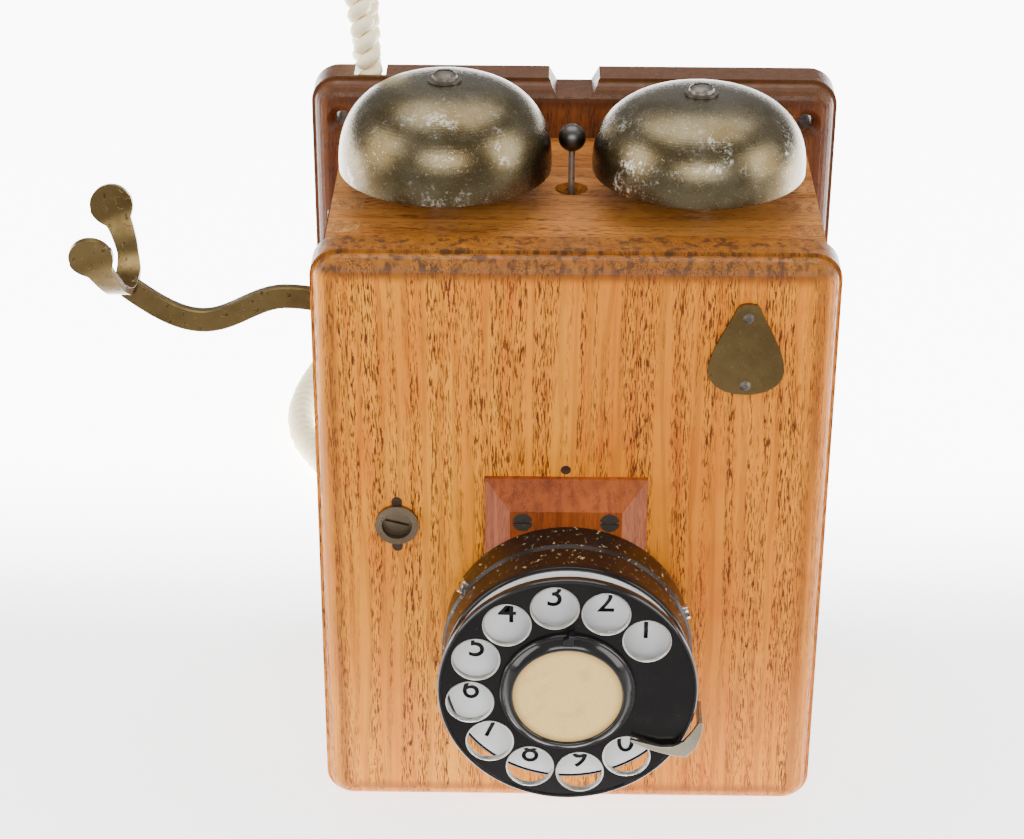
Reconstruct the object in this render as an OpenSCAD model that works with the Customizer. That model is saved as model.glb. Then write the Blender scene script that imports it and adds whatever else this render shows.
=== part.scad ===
// Small oak wall telephone with a dial on its door, two gongs on its top
// board and a forked switch hook on its left side.
// Millimetres, +Z up. The origin is the middle of the backboard's lower edge
// face; the front of the telephone faces -Y and the case stands on z = 0.

/* [Case] */
// Outside width of the case
case_w = 145; // [135:1:175]
// Height of the case
case_h = 187; // [178:1:225]
// Depth of the case between backboard and door
case_d = 83; // [78:1:100]
// Thickness of the case boards
wall_t = 9.5; // [8:0.5:11]
// Number of box-joint fingers along a corner
finger_count = 10; // [6:1:14]

/* [Backboard] */
// Width of the backboard beyond each side of the case
back_side = 10.5; // [8:0.5:14]
// Height of the backboard above the case
back_rise = 18.2; // [15:0.1:22]
// Thickness of the backboard
back_t = 16; // [13:0.5:20]
// Distance of the wall screws from the backboard's sides
wall_hole_in = 10; // [8:0.5:12]
// Radius of a wall screw hole
wall_hole_r = 2.5; // [2:0.1:3]

/* [Door] */
// Width of the door beyond each side of the case
door_over = 3.5; // [2.5:0.1:4.5]
// Thickness of the door
door_t = 15; // [13:0.5:19]
// Clearance between the door and the case
door_gap = 0.4; // [0.3:0.1:0.8]
// Width of the rounded edge on the boards
edge_w = 6.5; // [4:0.5:7.5]
// Radius of the corners of door and backboard
corner_r = 8.5; // [8:0.5:12]

/* [Hinges and lock] */
// Radius of a hinge pin
pin_r = 1.2; // [1:0.1:1.5]
// Length of a hinge
hinge_l = 28; // [24:1:34]
// Running clearance of pins and shafts
run_gap = 0.05; // [0.02:0.01:0.1]
// Distance of the lock from the inside of the case board
lock_in = 11; // [9:0.5:14]
// Height of the lock
lock_z = 103; // [85:1:125]
// Radius of the lock spindle's head
lock_r = 3.6; // [3:0.1:4.3]

/* [Dial] */
// Distance of the dial from the door's centre line
dial_x = -1; // [-4:1:4]
// Height of the dial's centre
dial_z = 70.5; // [58:0.5:86]
// Radius of the finger wheel
wheel_r = 37.8; // [33:0.2:45]
// Radius of the dial cup
cup_r = 36.5; // [33:0.5:43]
// Depth of the dial cup
cup_depth = 22; // [18:0.5:26]
// Thickness of the dial block
block_t = 8; // [6:0.5:10]

/* [Bells] */
// Radius of a gong's rim
gong_r = 31.75; // [26.5:0.25:38]
// Height of the left gong above its rim
gong_h = 27; // [22:0.5:32.5]
// Height of the right gong above its rim
gong_right_h = 23.5; // [19.5:0.5:28.5]
// Height of the rims above the top board
gong_lift = 10; // [8:0.5:14]
// Gap between the two gongs
gong_gap = 11.8; // [9.8:0.1:14.2]
// Distance of the gongs from the wall
gong_back = 64; // [54:1:76]

/* [Switch hook] */
// Distance of the hook lever below the top of the case
hook_drop = 32; // [27:0.5:38]
// Height of the lever's bar
hook_bar_h = 7; // [6:0.5:8]
// Thickness of the lever's bar
hook_bar_t = 3; // [2.5:0.5:4]
// Distance between the fork's two prongs
fork_span = 39; // [34:1:46]
// Radius of the pads on the prongs
pad_r = 6.4; // [5.3:0.1:7.7]

/* [Handset] */
// Distance between the centres of the handset's caps
cap_span = 150; // [140:1:165]
// Radius of the ear cap
ear_r = 29; // [27:0.5:31]
// Radius of the mouth cap
mouth_r = 30.5; // [28:0.5:32]
// Turn of the handset on the table, in degrees
handset_turn = 24; // [20:1:28]

/* [Hidden] */
$fn = 64;

// planes from the wall to the front
rear_y = back_t / 2;
back_front_y = -back_t / 2;
case_front_y = back_front_y - case_d;
door_back_y = case_front_y - door_gap;
door_front_y = door_back_y - door_t;
// boards
back_w = case_w + 2 * back_side;
back_h = case_h + back_rise;
door_w = case_w + 2 * door_over;
door_h = case_h + 2;
door_z = 1;
top_under_z = case_h - wall_t;
side_in_x = case_w / 2 - wall_t;
// rounded board edge
edge_depth = 5;
edge_step = 1;
edge_steps = 6;
// wall screws
wall_hole_x = back_w / 2 - wall_hole_in;
wall_hole_z = back_h - 13;
low_hole_x = side_in_x - 11;
low_hole_z = 22;
sink_r = 5;
// cord in the backboard
cord_lead_r = 2.3;
cord_thin_r = 4.2;
groove_w = 2 * cord_thin_r + 1.6;
groove_depth = 9.5;
groove_x = -case_w / 2 + 8;
groove_y = rear_y - groove_depth / 2;
groove_foot_z = case_h - 31;
lead_hole_r = 3;
lead_hole_x = -side_in_x + 4.5;
// screws: large and small
screw_r = 1.8;
screw_head_r = 3.4;
case_screw_len = back_t + 14;
case_screw_zs = [30, case_h - 40];
small_r = 1.2;
small_head_r = 2.3;
small_len = 6;
// hinges
hinge_axis_x = case_w / 2 + 1.9;
hinge_axis_y = (case_front_y + door_back_y) / 2;
hinge_zs = [26, door_h - 26 - hinge_l];
leaf_t = 1.2;
leaf_w = 8.5;
knuckle_r = pin_r + 1.1;
knuckle_gap = 0.3;
// lock
lock_x = -side_in_x + lock_in;
lock_tube_r = lock_r + 1.9;
lock_recess_r = lock_r + 0.9;
lock_flange_r = lock_r + 2.8;
lock_flange_t = 1.6;
lock_recess = 2.2;
lock_head_t = 3;
cam_t = 1.6;
cam_y = case_front_y + 2.6;
cam_reach = lock_in - 2;
keeper_t = 1.6;
// dial stack, measured forward from the door
block_w = 48;
block_h = 2 * cup_r + 25;
block_bevel = 7.5;
block_edge = 1.6;
block_x = dial_x - 0.8;
block_front_y = door_front_y - block_t;
block_screw_x = 12.8;
block_screw_z = dial_z + cup_r + 1.4;
cup_wall = 1.5;
cup_front_y = block_front_y - cup_depth;
plate_t = 1.2;
wheel_gap = 6.8;
wheel_t = 1.8;
wheel_back_y = cup_front_y - plate_t - wheel_gap;
wheel_front_y = wheel_back_y - wheel_t;
finger_ring_r = wheel_r - 9.2;
finger_r = finger_ring_r * sin(15) - 0.5;
finger_first = 38;
finger_step = 30;
shaft_r = 3;
card_r = 16.3;
retainer_r = 19.9;
stop_angle = -22.5;
stop_bend = 33;
stop_w = 4.4;
stop_r = max(wheel_r, cup_r) + 1.1;
// dial mechanism, in steps of the cup's depth
lay = cup_depth / 22;
frame_shell_t = 2;
frame_r = cup_r - cup_wall;
rear_plate_y = cup_front_y + 16.4 * lay;
rear_plate_t = 1.5 * lay;
gear_y = cup_front_y + 3 * lay;
brake_y = cup_front_y + 6 * lay;
drum_y = cup_front_y + 9 * lay;
drum_t = 5 * lay;
dial_wheel_t = 2 * lay;
gear_r = 0.46 * frame_r;
impulse_r = gear_r / 3.2;
impulse_at = gear_r + impulse_r + 0.4;
brake_gear_r = 8;
governor_r = 2.2;
governor_at = brake_gear_r + governor_r + 0.4;
governor_angle = 200;
small_shaft_r = 1.5;
// ringer
ringer_x = -1;
gong_span = 2 * gong_r + gong_gap;
gong_y = rear_y - gong_back;
bell_wall = 1.4;
bell_power = 2.6;
post_r = 2.6;
post_top_r = 4.4;
post_seat = 0.06;
gong_screw_r = 2;
rim_z = case_h + gong_lift;
clapper_y = gong_y + 7;
ball_r = gong_gap / 2 - 1.75;
ball_z = rim_z + 6.5;
rod_r = 1;
rod_hole_r = 5;
frame_t = 3;
coil_span = 30;
coil_r = 9.5;
core_r = 3.5;
coil_bot_z = case_h - 63;
coil_top_z = top_under_z - frame_t - 3;
arm_t = 3;
arm_z = coil_bot_z - 2 - 1.5 - arm_t / 2;
arm_l = 46;
trunnion_r = 1.5;
cheek_t = 2;
cheek_y = 10;
// switch hook
hook_y = case_front_y + 0.333 * case_d;
hook_z = case_h - hook_drop;
hook_pivot_x = -side_in_x + 13;
hook_pin_r = 2;
hook_tail_z = hook_z - 18;
crest_x = -case_w / 2 - 14.5;
crest_rise = 2;
trough_x = -case_w / 2 - 40;
trough_drop = 6.2;
root_x = -case_w / 2 - 62.5;
root_rise = 5;
fork_floor_z = hook_z + root_rise + 1.6;
fork_t = 2.2;
fork_w = 7.4;
fork_lean = 6.6;
fork_foot = 4.8;
pad_z = fork_floor_z + 18.4;
slot_w = hook_bar_t + 3;
slot_h = hook_bar_h + 10;
plate_d = 44;
plate_h = 50;
hook_plate_t = 1.8;
cheek_gap = hook_bar_t / 2 + 1;
// handset
handset_at = [20 + groove_x + 64.5, 133 + rear_y - 8];
cap_h = 14;
spigot_z = 8;
spigot_in = 5;
head_top_z = 34;
neck_r = 13;
handle_r = 12;
handle_z = 51;
exit_z = 22;
exit_r = 4;

// route of the handset cord, from the groove to the handset: x, y, z, radius
cord_route = [
    [-64.5, 3.2, 180, 2.3], [-64.5, 3.2, 188, 2.3], [-64.5, 3.2, 196, 4.2],
    [-65, 3.2, 208, 4.2], [-67, 6, 218, 4.2], [-69, 11, 228, 4.2],
    [-70, 19, 238, 4.2], [-70, 30, 244, 4.3], [-70, 42, 243, 4.4],
    [-70, 52, 235, 4.6], [-70, 58, 221, 4.8], [-70, 61, 204, 5],
    [-70, 62, 185, 5], [-70, 62, 165, 5], [-70, 62, 145, 5],
    [-70, 62, 125, 5], [-70, 62, 105, 5], [-70, 62, 85, 5],
    [-70, 63, 65, 5.2], [-70, 64, 46, 5.4], [-71, 67, 29, 5.5],
    [-74, 73, 15, 5.5], [-80, 83, 7, 5.5], [-88, 96, 5.6, 5.5],
    [-96, 110, 5.6, 5.5], [-103, 126, 5.6, 5.5], [-106, 144, 5.6, 5.5],
    [-105, 164, 5.6, 5.5], [-101, 184, 5.6, 5.5], [-95, 204, 5.6, 5.5],
    [-86, 223, 5.6, 5.5], [-73, 239, 5.6, 5.5], [-58, 250, 6, 5.5],
    [-44, 254, 9, 5.4], [-34, 251, 14, 4.6], [-27.6, 240, 21, 2.3],
    [-25.35, 234.9, 22, 2.3]];
cord_sides = 10;
cord_steps = 2;

// box between two corners
module block(x0, x1, y0, y1, z0, z1) {
    translate([min(x0, x1), min(y0, y1), min(z0, z1)])
        cube([abs(x1 - x0), abs(y1 - y0), abs(z1 - z0)]);
}

// cylinder along Y from y0 to y1
module y_rod(r, y0, y1) {
    translate([0, min(y0, y1), 0])
        rotate([-90, 0, 0])
            cylinder(r = r, h = abs(y1 - y0));
}

// cylinder along X from x0 to x1
module x_rod(r, x0, x1) {
    translate([min(x0, x1), 0, 0])
        rotate([0, 90, 0])
            cylinder(r = r, h = abs(x1 - x0));
}

// cone along Y, radius r0 at y0 and r1 at y1, with y0 < y1
module y_cone(r0, r1, y0, y1) {
    translate([0, y0, 0])
        rotate([-90, 0, 0])
            cylinder(r1 = r0, r2 = r1, h = y1 - y0);
}

// profile of a rounded board edge; x is the distance from the corner's centre
function edge_profile(r, t) = concat(
    [[0, 0], [r, 0], [r, t - edge_depth], [r - edge_step, t - edge_depth]],
    [for (i = [1 : edge_steps])
        let (a = 90 * i / edge_steps)
        [r - edge_step - (edge_w - edge_step) * (1 - cos(a)),
         t - edge_depth + edge_depth * sin(a)]],
    [[0, t]]);

// board with a rounded front edge, its back on z = 0, centred on x and y
module rounded_board(w, h, t) {
    r = corner_r;
    union() {
        for (sx = [-1, 1], sy = [-1, 1])
            translate([sx * (w / 2 - r), sy * (h / 2 - r), 0])
                rotate([0, 0, sx > 0 ? (sy > 0 ? 0 : -90) : (sy > 0 ? 90 : 180)])
                    rotate_extrude(angle = 90)
                        polygon(edge_profile(r, t));
        for (side = [[w, h, 0], [h, w, 90], [w, h, 180], [h, w, 270]])
            rotate([0, 0, side[2]])
                translate([side[0] / 2 - r, side[1] / 2 - r, 0])
                    rotate([90, 0, 0])
                        linear_extrude(side[1] - 2 * r)
                            polygon(edge_profile(r, t));
        translate([-w / 2 + r, -h / 2 + r, 0])
            cube([w - 2 * r, h - 2 * r, t]);
    }
}

// stands a board up, its back on the plane y and its foot on the height z
module stand_board(y, z, h) {
    translate([0, y, z + h / 2])
        rotate([90, 0, 0])
            children();
}

// wood screw along +Y or -Y with a sunk, slotted head at y
module sunk_screw(r, head_r, y, length, dir) {
    difference() {
        union() {
            if (dir > 0) {
                y_cone(head_r, r, y, y + head_r - r);
                y_rod(r, y + head_r - r, y + length);
            } else {
                y_cone(r, head_r, y - head_r + r, y);
                y_rod(r, y - length, y - head_r + r);
            }
        }
        block(-head_r, head_r, y - 0.8, y + 0.8, -0.5, 0.5);
    }
}

// hole for sunk_screw
module sunk_hole(r, head_r, y, length, dir) {
    if (dir > 0) {
        y_cone(head_r, r, y, y + head_r - r);
        y_rod(r, y - 1, y + length);
    } else {
        y_cone(r, head_r, y - head_r + r, y);
        y_rod(r, y - length, y + 1);
    }
}

case_screw_places = [for (sx = [-1, 1], z = case_screw_zs)
    [sx * (case_w / 2 - wall_t / 2), z]];

module backboard() {
    color("peru")
    difference() {
        stand_board(rear_y, 0, back_h)
            rounded_board(back_w, back_h, back_t);
        // notch in the top edge
        translate([0, rear_y + 1, back_h])
            rotate([90, 0, 0])
                linear_extrude(back_t + 2)
                    polygon([[-5.5, -4.5], [5.5, -4.5], [8.5, 1], [-8.5, 1]]);
        for (sx = [-1, 1]) {
            translate([sx * wall_hole_x, 0, wall_hole_z])
                sunk_hole(wall_hole_r, sink_r, back_front_y, back_t + 1, 1);
            translate([sx * low_hole_x, 0, low_hole_z])
                sunk_hole(wall_hole_r, sink_r, back_front_y, back_t + 1, 1);
        }
        for (p = case_screw_places)
            translate([p[0], 0, p[1]])
                sunk_hole(screw_r, screw_head_r, rear_y, back_t + 1, -1);
        // cord groove, open at the top edge, and the lead hole at its foot
        block(groove_x - groove_w / 2, groove_x + groove_w / 2,
              rear_y - groove_depth, rear_y + 1, groove_foot_z, back_h + 1);
        block(groove_x, lead_hole_x + lead_hole_r + 1,
              rear_y - groove_depth, rear_y + 1, groove_foot_z, groove_foot_z + 10);
        translate([lead_hole_x, 0, groove_foot_z + 5])
            y_rod(lead_hole_r, back_front_y - 1, rear_y - groove_depth + 1);
    }
}

// pockets of a box joint at one corner, on the side x; parity 0 or 1
module joint_pockets(sx, z0, z1, parity) {
    step = case_d / finger_count;
    for (i = [parity : 2 : finger_count - 1])
        block(sx * (side_in_x), sx * (case_w / 2 + 1),
              case_front_y + i * step, case_front_y + (i + 1) * step, z0, z1);
}

module case_side_board(sx) {
    difference() {
        block(sx * side_in_x, sx * case_w / 2, case_front_y, back_front_y, 0, case_h);
        joint_pockets(sx, top_under_z, case_h + 1, 0);
        joint_pockets(sx, -1, wall_t, 0);
        for (z = case_screw_zs)
            translate([sx * (case_w / 2 - wall_t / 2), 0, z])
                y_rod(screw_r, back_front_y + 1, rear_y - case_screw_len);
    }
}

module case_left_board() {
    color("darkgoldenrod")
    difference() {
        case_side_board(-1);
        block(-case_w / 2 - 1, -side_in_x + 1, hook_y - slot_w / 2, hook_y + slot_w / 2,
              hook_z - slot_h / 2 - 1, hook_z + slot_h / 2 - 1);
        for (p = plate_screw_places)
            translate([0, p[0], p[1]])
                x_rod(small_r, -case_w / 2 - 1, -case_w / 2 + small_len);
        for (z = keeper_screw_zs)
            translate([0, keeper_screw_y, z])
                x_rod(small_r, -side_in_x + 1, -side_in_x - small_len);
    }
}

module case_right_board() {
    color("darkgoldenrod")
    difference() {
        case_side_board(1);
        for (z = hinge_zs) {
            block(hinge_axis_x - knuckle_r - leaf_w, case_w / 2 + 1,
                  case_front_y - 1, case_front_y + leaf_t, z, z + hinge_l);
            translate([hinge_axis_x, hinge_axis_y, z])
                cylinder(r = knuckle_r + 0.4, h = hinge_l);
        }
        for (p = hinge_screw_places)
            translate([p[0], 0, p[1]])
                y_rod(small_r, case_front_y - 1, case_front_y + 1 + small_len + leaf_t);
    }
}

module case_top_board() {
    color("chocolate")
    difference() {
        block(-case_w / 2, case_w / 2, case_front_y, back_front_y, top_under_z, case_h);
        for (sx = [-1, 1])
            joint_pockets(sx, top_under_z - 1, case_h + 1, 1);
        for (sx = [-1, 1])
            translate([ringer_x + sx * gong_span / 2, gong_y, top_under_z - 1])
                cylinder(r = post_r, h = wall_t + 2);
        translate([ringer_x, clapper_y, top_under_z - 1])
            cylinder(r = rod_hole_r, h = wall_t + 2);
    }
}

module case_bottom_board() {
    color("chocolate")
    difference() {
        block(-case_w / 2, case_w / 2, case_front_y, back_front_y, 0, wall_t);
        for (sx = [-1, 1])
            joint_pockets(sx, -1, wall_t + 1, 1);
    }
}

module case_screws() {
    color("dimgray")
    for (p = case_screw_places)
        translate([p[0], 0, p[1]])
            sunk_screw(screw_r, screw_head_r, rear_y, case_screw_len, -1);
}

// three-knuckle butt hinge; part 0 keeps the outer knuckles, part 1 the middle
module hinge_leaf(z, part) {
    third = hinge_l / 3;
    dir = part == 0 ? 1 : -1;
    face_y = part == 0 ? case_front_y : door_back_y;
    bore = part == 0 ? pin_r : pin_r + run_gap;
    difference() {
        union() {
            block(hinge_axis_x - knuckle_r - leaf_w, hinge_axis_x - knuckle_r - 0.3,
                  face_y, face_y + dir * leaf_t, z, z + hinge_l);
            for (k = part == 0 ? [0, 2] : [1]) {
                z0 = z + k * third + knuckle_gap / 2;
                translate([hinge_axis_x, hinge_axis_y, z0])
                    cylinder(r = knuckle_r, h = third - knuckle_gap);
                block(hinge_axis_x - knuckle_r - 1, hinge_axis_x,
                      face_y, face_y + dir * leaf_t, z0, z0 + third - knuckle_gap);
            }
        }
        translate([hinge_axis_x, hinge_axis_y, z - 1])
            cylinder(r = bore, h = hinge_l + 2);
    }
}

hinge_screw_places = [for (z = hinge_zs, k = [6, hinge_l - 6])
    [hinge_axis_x - knuckle_r - leaf_w / 2 - 0.6, z + k]];

module case_hinge_leaves() {
    color("darkkhaki")
    difference() {
        for (z = hinge_zs)
            hinge_leaf(z, 0);
        for (p = hinge_screw_places)
            translate([p[0], 0, p[1]])
                y_rod(small_r, case_front_y - 1, case_front_y + leaf_t + 1);
    }
}

module door_hinge_leaves() {
    color("darkkhaki")
    difference() {
        for (z = hinge_zs)
            hinge_leaf(z, 1);
        for (p = hinge_screw_places)
            translate([p[0], 0, p[1]])
                y_rod(small_r, door_back_y - leaf_t - 1, door_back_y + 1);
    }
}

module hinge_pins() {
    color("gray")
    for (z = hinge_zs)
        translate([hinge_axis_x, hinge_axis_y, z])
            cylinder(r = pin_r, h = hinge_l);
}

keeper_screw_zs = [lock_z - 5, lock_z + 5];
keeper_screw_y = case_front_y + 10;

module lock_keeper() {
    color("gray")
    difference() {
        union() {
            block(-side_in_x, -side_in_x + 1.6, case_front_y + 0.6, case_front_y + 15,
                  lock_z - 9, lock_z + 9);
            block(-side_in_x, -side_in_x + lock_in - 6, case_front_y + 0.6,
                  case_front_y + 0.6 + keeper_t, lock_z - 9, lock_z + 9);
        }
        for (z = keeper_screw_zs)
            translate([0, keeper_screw_y, z])
                x_rod(small_r, -side_in_x - 1, -side_in_x + 3);
    }
}

plate_screw_places = [for (y = [-1, 1], z = [-1, 1])
    [hook_y + y * (plate_d / 2 - 4.5), hook_z + z * (plate_h / 2 - 4.5)]];

module hook_escutcheon() {
    color("darkslategray")
    difference() {
        block(-case_w / 2, -case_w / 2 - hook_plate_t, hook_y - plate_d / 2,
              hook_y + plate_d / 2, hook_z - plate_h / 2, hook_z + plate_h / 2);
        block(-case_w / 2 - hook_plate_t - 1, -case_w / 2 + 1, hook_y - slot_w / 2,
              hook_y + slot_w / 2, hook_z - slot_h / 2 - 1, hook_z + slot_h / 2 - 1);
        for (p = plate_screw_places)
            translate([0, p[0], p[1]])
                x_rod(small_r, -case_w / 2 - hook_plate_t - 1, -case_w / 2 + 1);
    }
}

// small round-head screw along +X from its seat at x = 0
module small_screw() {
    difference() {
        union() {
            x_rod(small_r, 0, small_len);
            x_rod(small_head_r, -0.9, 0);
        }
        block(-1.4, -0.5, -3, 3, -0.35, 0.35);
    }
}

// flush screw along +Y from its seat at y = 0
module flush_screw() {
    difference() {
        y_rod(small_r, 0, small_len);
        block(-2, 2, -1, 0.5, -0.3, 0.3);
    }
}

module small_screws() {
    color("gray") {
        for (p = plate_screw_places)
            translate([-case_w / 2 - hook_plate_t, p[0], p[1]])
                small_screw();
        for (z = keeper_screw_zs)
            translate([-side_in_x + 1.6, keeper_screw_y, z])
                mirror([1, 0, 0])
                    small_screw();
        for (p = hinge_screw_places)
            translate([p[0], case_front_y, p[1]])
                flush_screw();
    }
}

module door_screws() {
    color("dimgray") {
        for (sx = [-1, 1])
            translate([block_x + sx * block_screw_x, 0, block_screw_z])
                sunk_screw(screw_r, screw_head_r - 0.4, block_front_y, block_t + 9, 1);
        for (p = hinge_screw_places)
            translate([p[0], door_back_y, p[1]])
                mirror([0, 1, 0])
                    flush_screw();
    }
}

// ---- switch hook ----

module hook_bracket() {
    color("darkkhaki")
    difference() {
        union() {
            for (s = [-1, 1]) {
                y0 = hook_y + s * cheek_gap;
                block(-side_in_x, hook_pivot_x + 6, y0, y0 + s * 1.6,
                      hook_z - 7, hook_z + 9);
                block(-side_in_x, -side_in_x + 1.6, y0, y0 + s * 10,
                      hook_z - 7, hook_z + 9);
            }
            block(hook_pivot_x - 4, hook_pivot_x + 6, hook_y - cheek_gap - 1.6,
                  hook_y + cheek_gap + 1.6, hook_z + 7.4, hook_z + 9);
            block(-side_in_x, hook_pivot_x + 20, hook_y + cheek_gap,
                  hook_y + cheek_gap + 1.6, hook_z - 42, hook_z - 7);
        }
        translate([hook_pivot_x, 0, hook_z])
            y_rod(hook_pin_r, hook_y - 20, hook_y + 20);
    }
}

module hook_pivot_pin() {
    color("gray")
    translate([hook_pivot_x, 0, hook_z])
        y_rod(hook_pin_r, hook_y - cheek_gap - 2.4, hook_y + cheek_gap + 2.4);
}

// close-wound tension spring from the bracket's foot to the lever's tail
module hook_return_spring() {
    color("silver")
    translate([-side_in_x + 0.01, hook_y, hook_tail_z + 3])
        rotate([0, 90, 0])
            rotate_extrude()
                polygon(concat([[0, 0]],
                    [for (i = [0 : 14])
                        [i % 2 == 0 ? 1.3 : 1.8, i * 0.55]],
                    [[0, 7.7]]));
}

module hook_contact_springs() {
    color("khaki")
    union() {
        x0 = hook_pivot_x + 7.5;
        block(x0 - 1, x0 + 12, hook_y - 4, hook_y + cheek_gap,
              hook_z - 41, hook_z - 31);
        for (i = [0 : 2])
            block(x0 + i * 4, x0 + i * 4 + 0.5, hook_y - 3, hook_y + 1.2,
                  hook_z - 32, hook_z - 15);
    }
}

// centre line of the lever's bar outside the case: height over hook_z at x
function bar_rise(x) =
    x > crest_x ? crest_rise * sin(90 * (x + case_w / 2) / (crest_x + case_w / 2))
    : x > trough_x ? (crest_rise - trough_drop) / 2
        + (crest_rise + trough_drop) / 2 * cos(180 * (crest_x - x) / (crest_x - trough_x))
    : -trough_drop + (root_rise + trough_drop)
        * (1 - cos(90 * (trough_x - x) / (trough_x - root_x)));

bar_steps = 40;
bar_xs = [for (i = [0 : bar_steps]) -case_w / 2 + (root_x + case_w / 2) * i / bar_steps];

// The fork's strip seen from the side: a short floor and two leaning arms.
module fork_bend() {
    h = fork_t / 2;
    mid = fork_floor_z - h;
    lean = atan2(fork_span / 2 - fork_foot, pad_z - mid);
    reach = (pad_z - mid) / cos(lean) + pad_r + 2;
    tip = [fork_foot + reach * sin(lean), mid + reach * cos(lean)];
    low = fork_foot + h * cos(lean) - h * (1 - sin(lean)) / cos(lean) * sin(lean);
    inner = fork_foot - h * cos(lean) + h * (1 - sin(lean)) / cos(lean) * sin(lean);
    half = [[low, mid - h],
            [tip[0] + h * cos(lean), tip[1] - h * sin(lean)],
            [tip[0] - h * cos(lean), tip[1] + h * sin(lean)],
            [inner, mid + h]];
    translate([root_x - fork_lean - pad_r - 2, hook_y, 0])
        rotate([90, 0, 90])
            linear_extrude(fork_lean + pad_r + fork_w + 2)
                polygon(concat(half, [for (i = [3 : -1 : 0]) [-half[i][0], half[i][1]]]));
}

// The fork's outline seen from the front: necks and round pads.
module fork_front() {
    low = fork_floor_z - fork_t - 1;
    translate([0, hook_y + fork_span, 0])
        rotate([90, 0, 0])
            linear_extrude(2 * fork_span)
                polygon([[root_x + fork_w / 2, low], [root_x + fork_w / 2, low + 4],
                         [root_x - fork_lean + 3.1, pad_z], [root_x - fork_lean - 3.1, pad_z],
                         [root_x - fork_w / 2, low + 4], [root_x - fork_w / 2, low]]);
    translate([root_x - fork_lean, 0, pad_z])
        y_rod(pad_r, hook_y - fork_span, hook_y + fork_span);
}

module hook_lever() {
    half = hook_bar_h / 2;
    color("tan")
    difference() {
        union() {
            // bar, pivot and tail
            translate([0, hook_y + hook_bar_t / 2, 0])
                rotate([90, 0, 0])
                    linear_extrude(hook_bar_t)
                        polygon(concat(
                            [for (x = bar_xs) [x, hook_z + bar_rise(x) + half]],
                            [for (i = [bar_steps : -1 : 0])
                                [bar_xs[i], hook_z + bar_rise(bar_xs[i]) - half]],
                            [[hook_pivot_x - 3.5, hook_z - half],
                             [hook_pivot_x - 3.5, hook_tail_z],
                             [hook_pivot_x + 3.5, hook_tail_z],
                             [hook_pivot_x + 5, hook_z - half],
                             [hook_pivot_x + 5, hook_z + half]]));
            // fork: a strip bent up into a V, with round pads at its ends
            intersection() {
                fork_bend();
                fork_front();
            }
        }
        translate([hook_pivot_x, 0, hook_z])
            y_rod(hook_pin_r + run_gap, hook_y - 5, hook_y + 5);
    }
}

// ---- bells ----

// half profile of a gong, outer radius r and height h, wall inside left out
function bell_curve(r, h, n) = [for (i = [0 : n])
    let (a = 90 * i / n)
    [r * pow(cos(a), 2 / bell_power), h * pow(sin(a), 2 / bell_power)]];

module gong(sx, h) {
    color("silver")
    translate([ringer_x + sx * gong_span / 2, gong_y, rim_z])
        difference() {
            rotate_extrude()
                polygon(concat([[0, 0]], bell_curve(gong_r, h, 14)));
            rotate_extrude()
                polygon(concat([[0, -1], [gong_r - bell_wall, -1]],
                    bell_curve(gong_r - bell_wall, h - bell_wall, 14)));
            cylinder(r = gong_screw_r, h = h + 1);
        }
}

module gong_left() {
    gong(-1, gong_h);
}

module gong_right() {
    gong(1, gong_right_h);
}

gong_sides = [[-1, gong_h], [1, gong_right_h]];

module gong_posts() {
    color("gray")
    for (g = gong_sides) {
        top_z = rim_z + g[1] - bell_wall - post_seat;
        translate([ringer_x + g[0] * gong_span / 2, gong_y, 0])
            difference() {
                union() {
                    translate([0, 0, top_under_z - frame_t - 6])
                        cylinder(r = post_r, h = wall_t + frame_t + 7);
                    translate([0, 0, top_under_z - frame_t - 4])
                        cylinder(r = 4.6, h = 4);
                    translate([0, 0, case_h])
                        cylinder(r = post_top_r, h = top_z - case_h);
                }
                translate([0, 0, top_z - 10])
                    cylinder(r = gong_screw_r, h = 11);
            }
    }
}

module gong_screws() {
    color("lightgray")
    for (g = gong_sides)
        translate([ringer_x + g[0] * gong_span / 2, gong_y, rim_z + g[1]])
            difference() {
                union() {
                    translate([0, 0, -10])
                        cylinder(r = gong_screw_r, h = 11);
                    cylinder(r = 5, h = 0.8);
                    rotate_extrude()
                        polygon([[0, 0.8], [3.9, 0.8], [3.6, 1.8], [2.4, 2.7], [0, 3.1]]);
                }
                block(-5, 5, -0.5, 0.5, 1.9, 4);
            }
}

module ringer_frame() {
    x0 = ringer_x - gong_span / 2 - 7;
    x1 = ringer_x + gong_span / 2 + 7;
    color("dimgray")
    difference() {
        union() {
            block(x0, x1, gong_y - 6, clapper_y + 19, top_under_z - frame_t, top_under_z);
            for (s = [-1, 1])
                block(ringer_x - 4, ringer_x + 4, clapper_y + s * cheek_y,
                      clapper_y + s * (cheek_y + cheek_t), arm_z - 4,
                      top_under_z - frame_t);
        }
        for (sx = [-1, 1])
            translate([ringer_x + sx * gong_span / 2, gong_y, top_under_z - frame_t - 1])
                cylinder(r = post_r, h = frame_t + 2);
        translate([ringer_x, clapper_y, top_under_z - frame_t - 1])
            cylinder(r = rod_hole_r, h = frame_t + 2);
        translate([ringer_x, 0, arm_z])
            y_rod(trunnion_r + run_gap, clapper_y - 15, clapper_y + 15);
    }
}

module ringer_coils() {
    color("firebrick")
    for (sx = [-1, 1])
        translate([ringer_x + sx * coil_span / 2, clapper_y, 0]) {
            translate([0, 0, coil_bot_z - 2])
                cylinder(r = core_r, h = top_under_z - frame_t - coil_bot_z + 2);
            translate([0, 0, coil_bot_z])
                cylinder(r = coil_r, h = 2);
            translate([0, 0, coil_bot_z + 2])
                cylinder(r = coil_r - 1.2, h = coil_top_z - coil_bot_z - 4);
            translate([0, 0, coil_top_z - 2])
                cylinder(r = coil_r, h = 2);
        }
}

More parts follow.
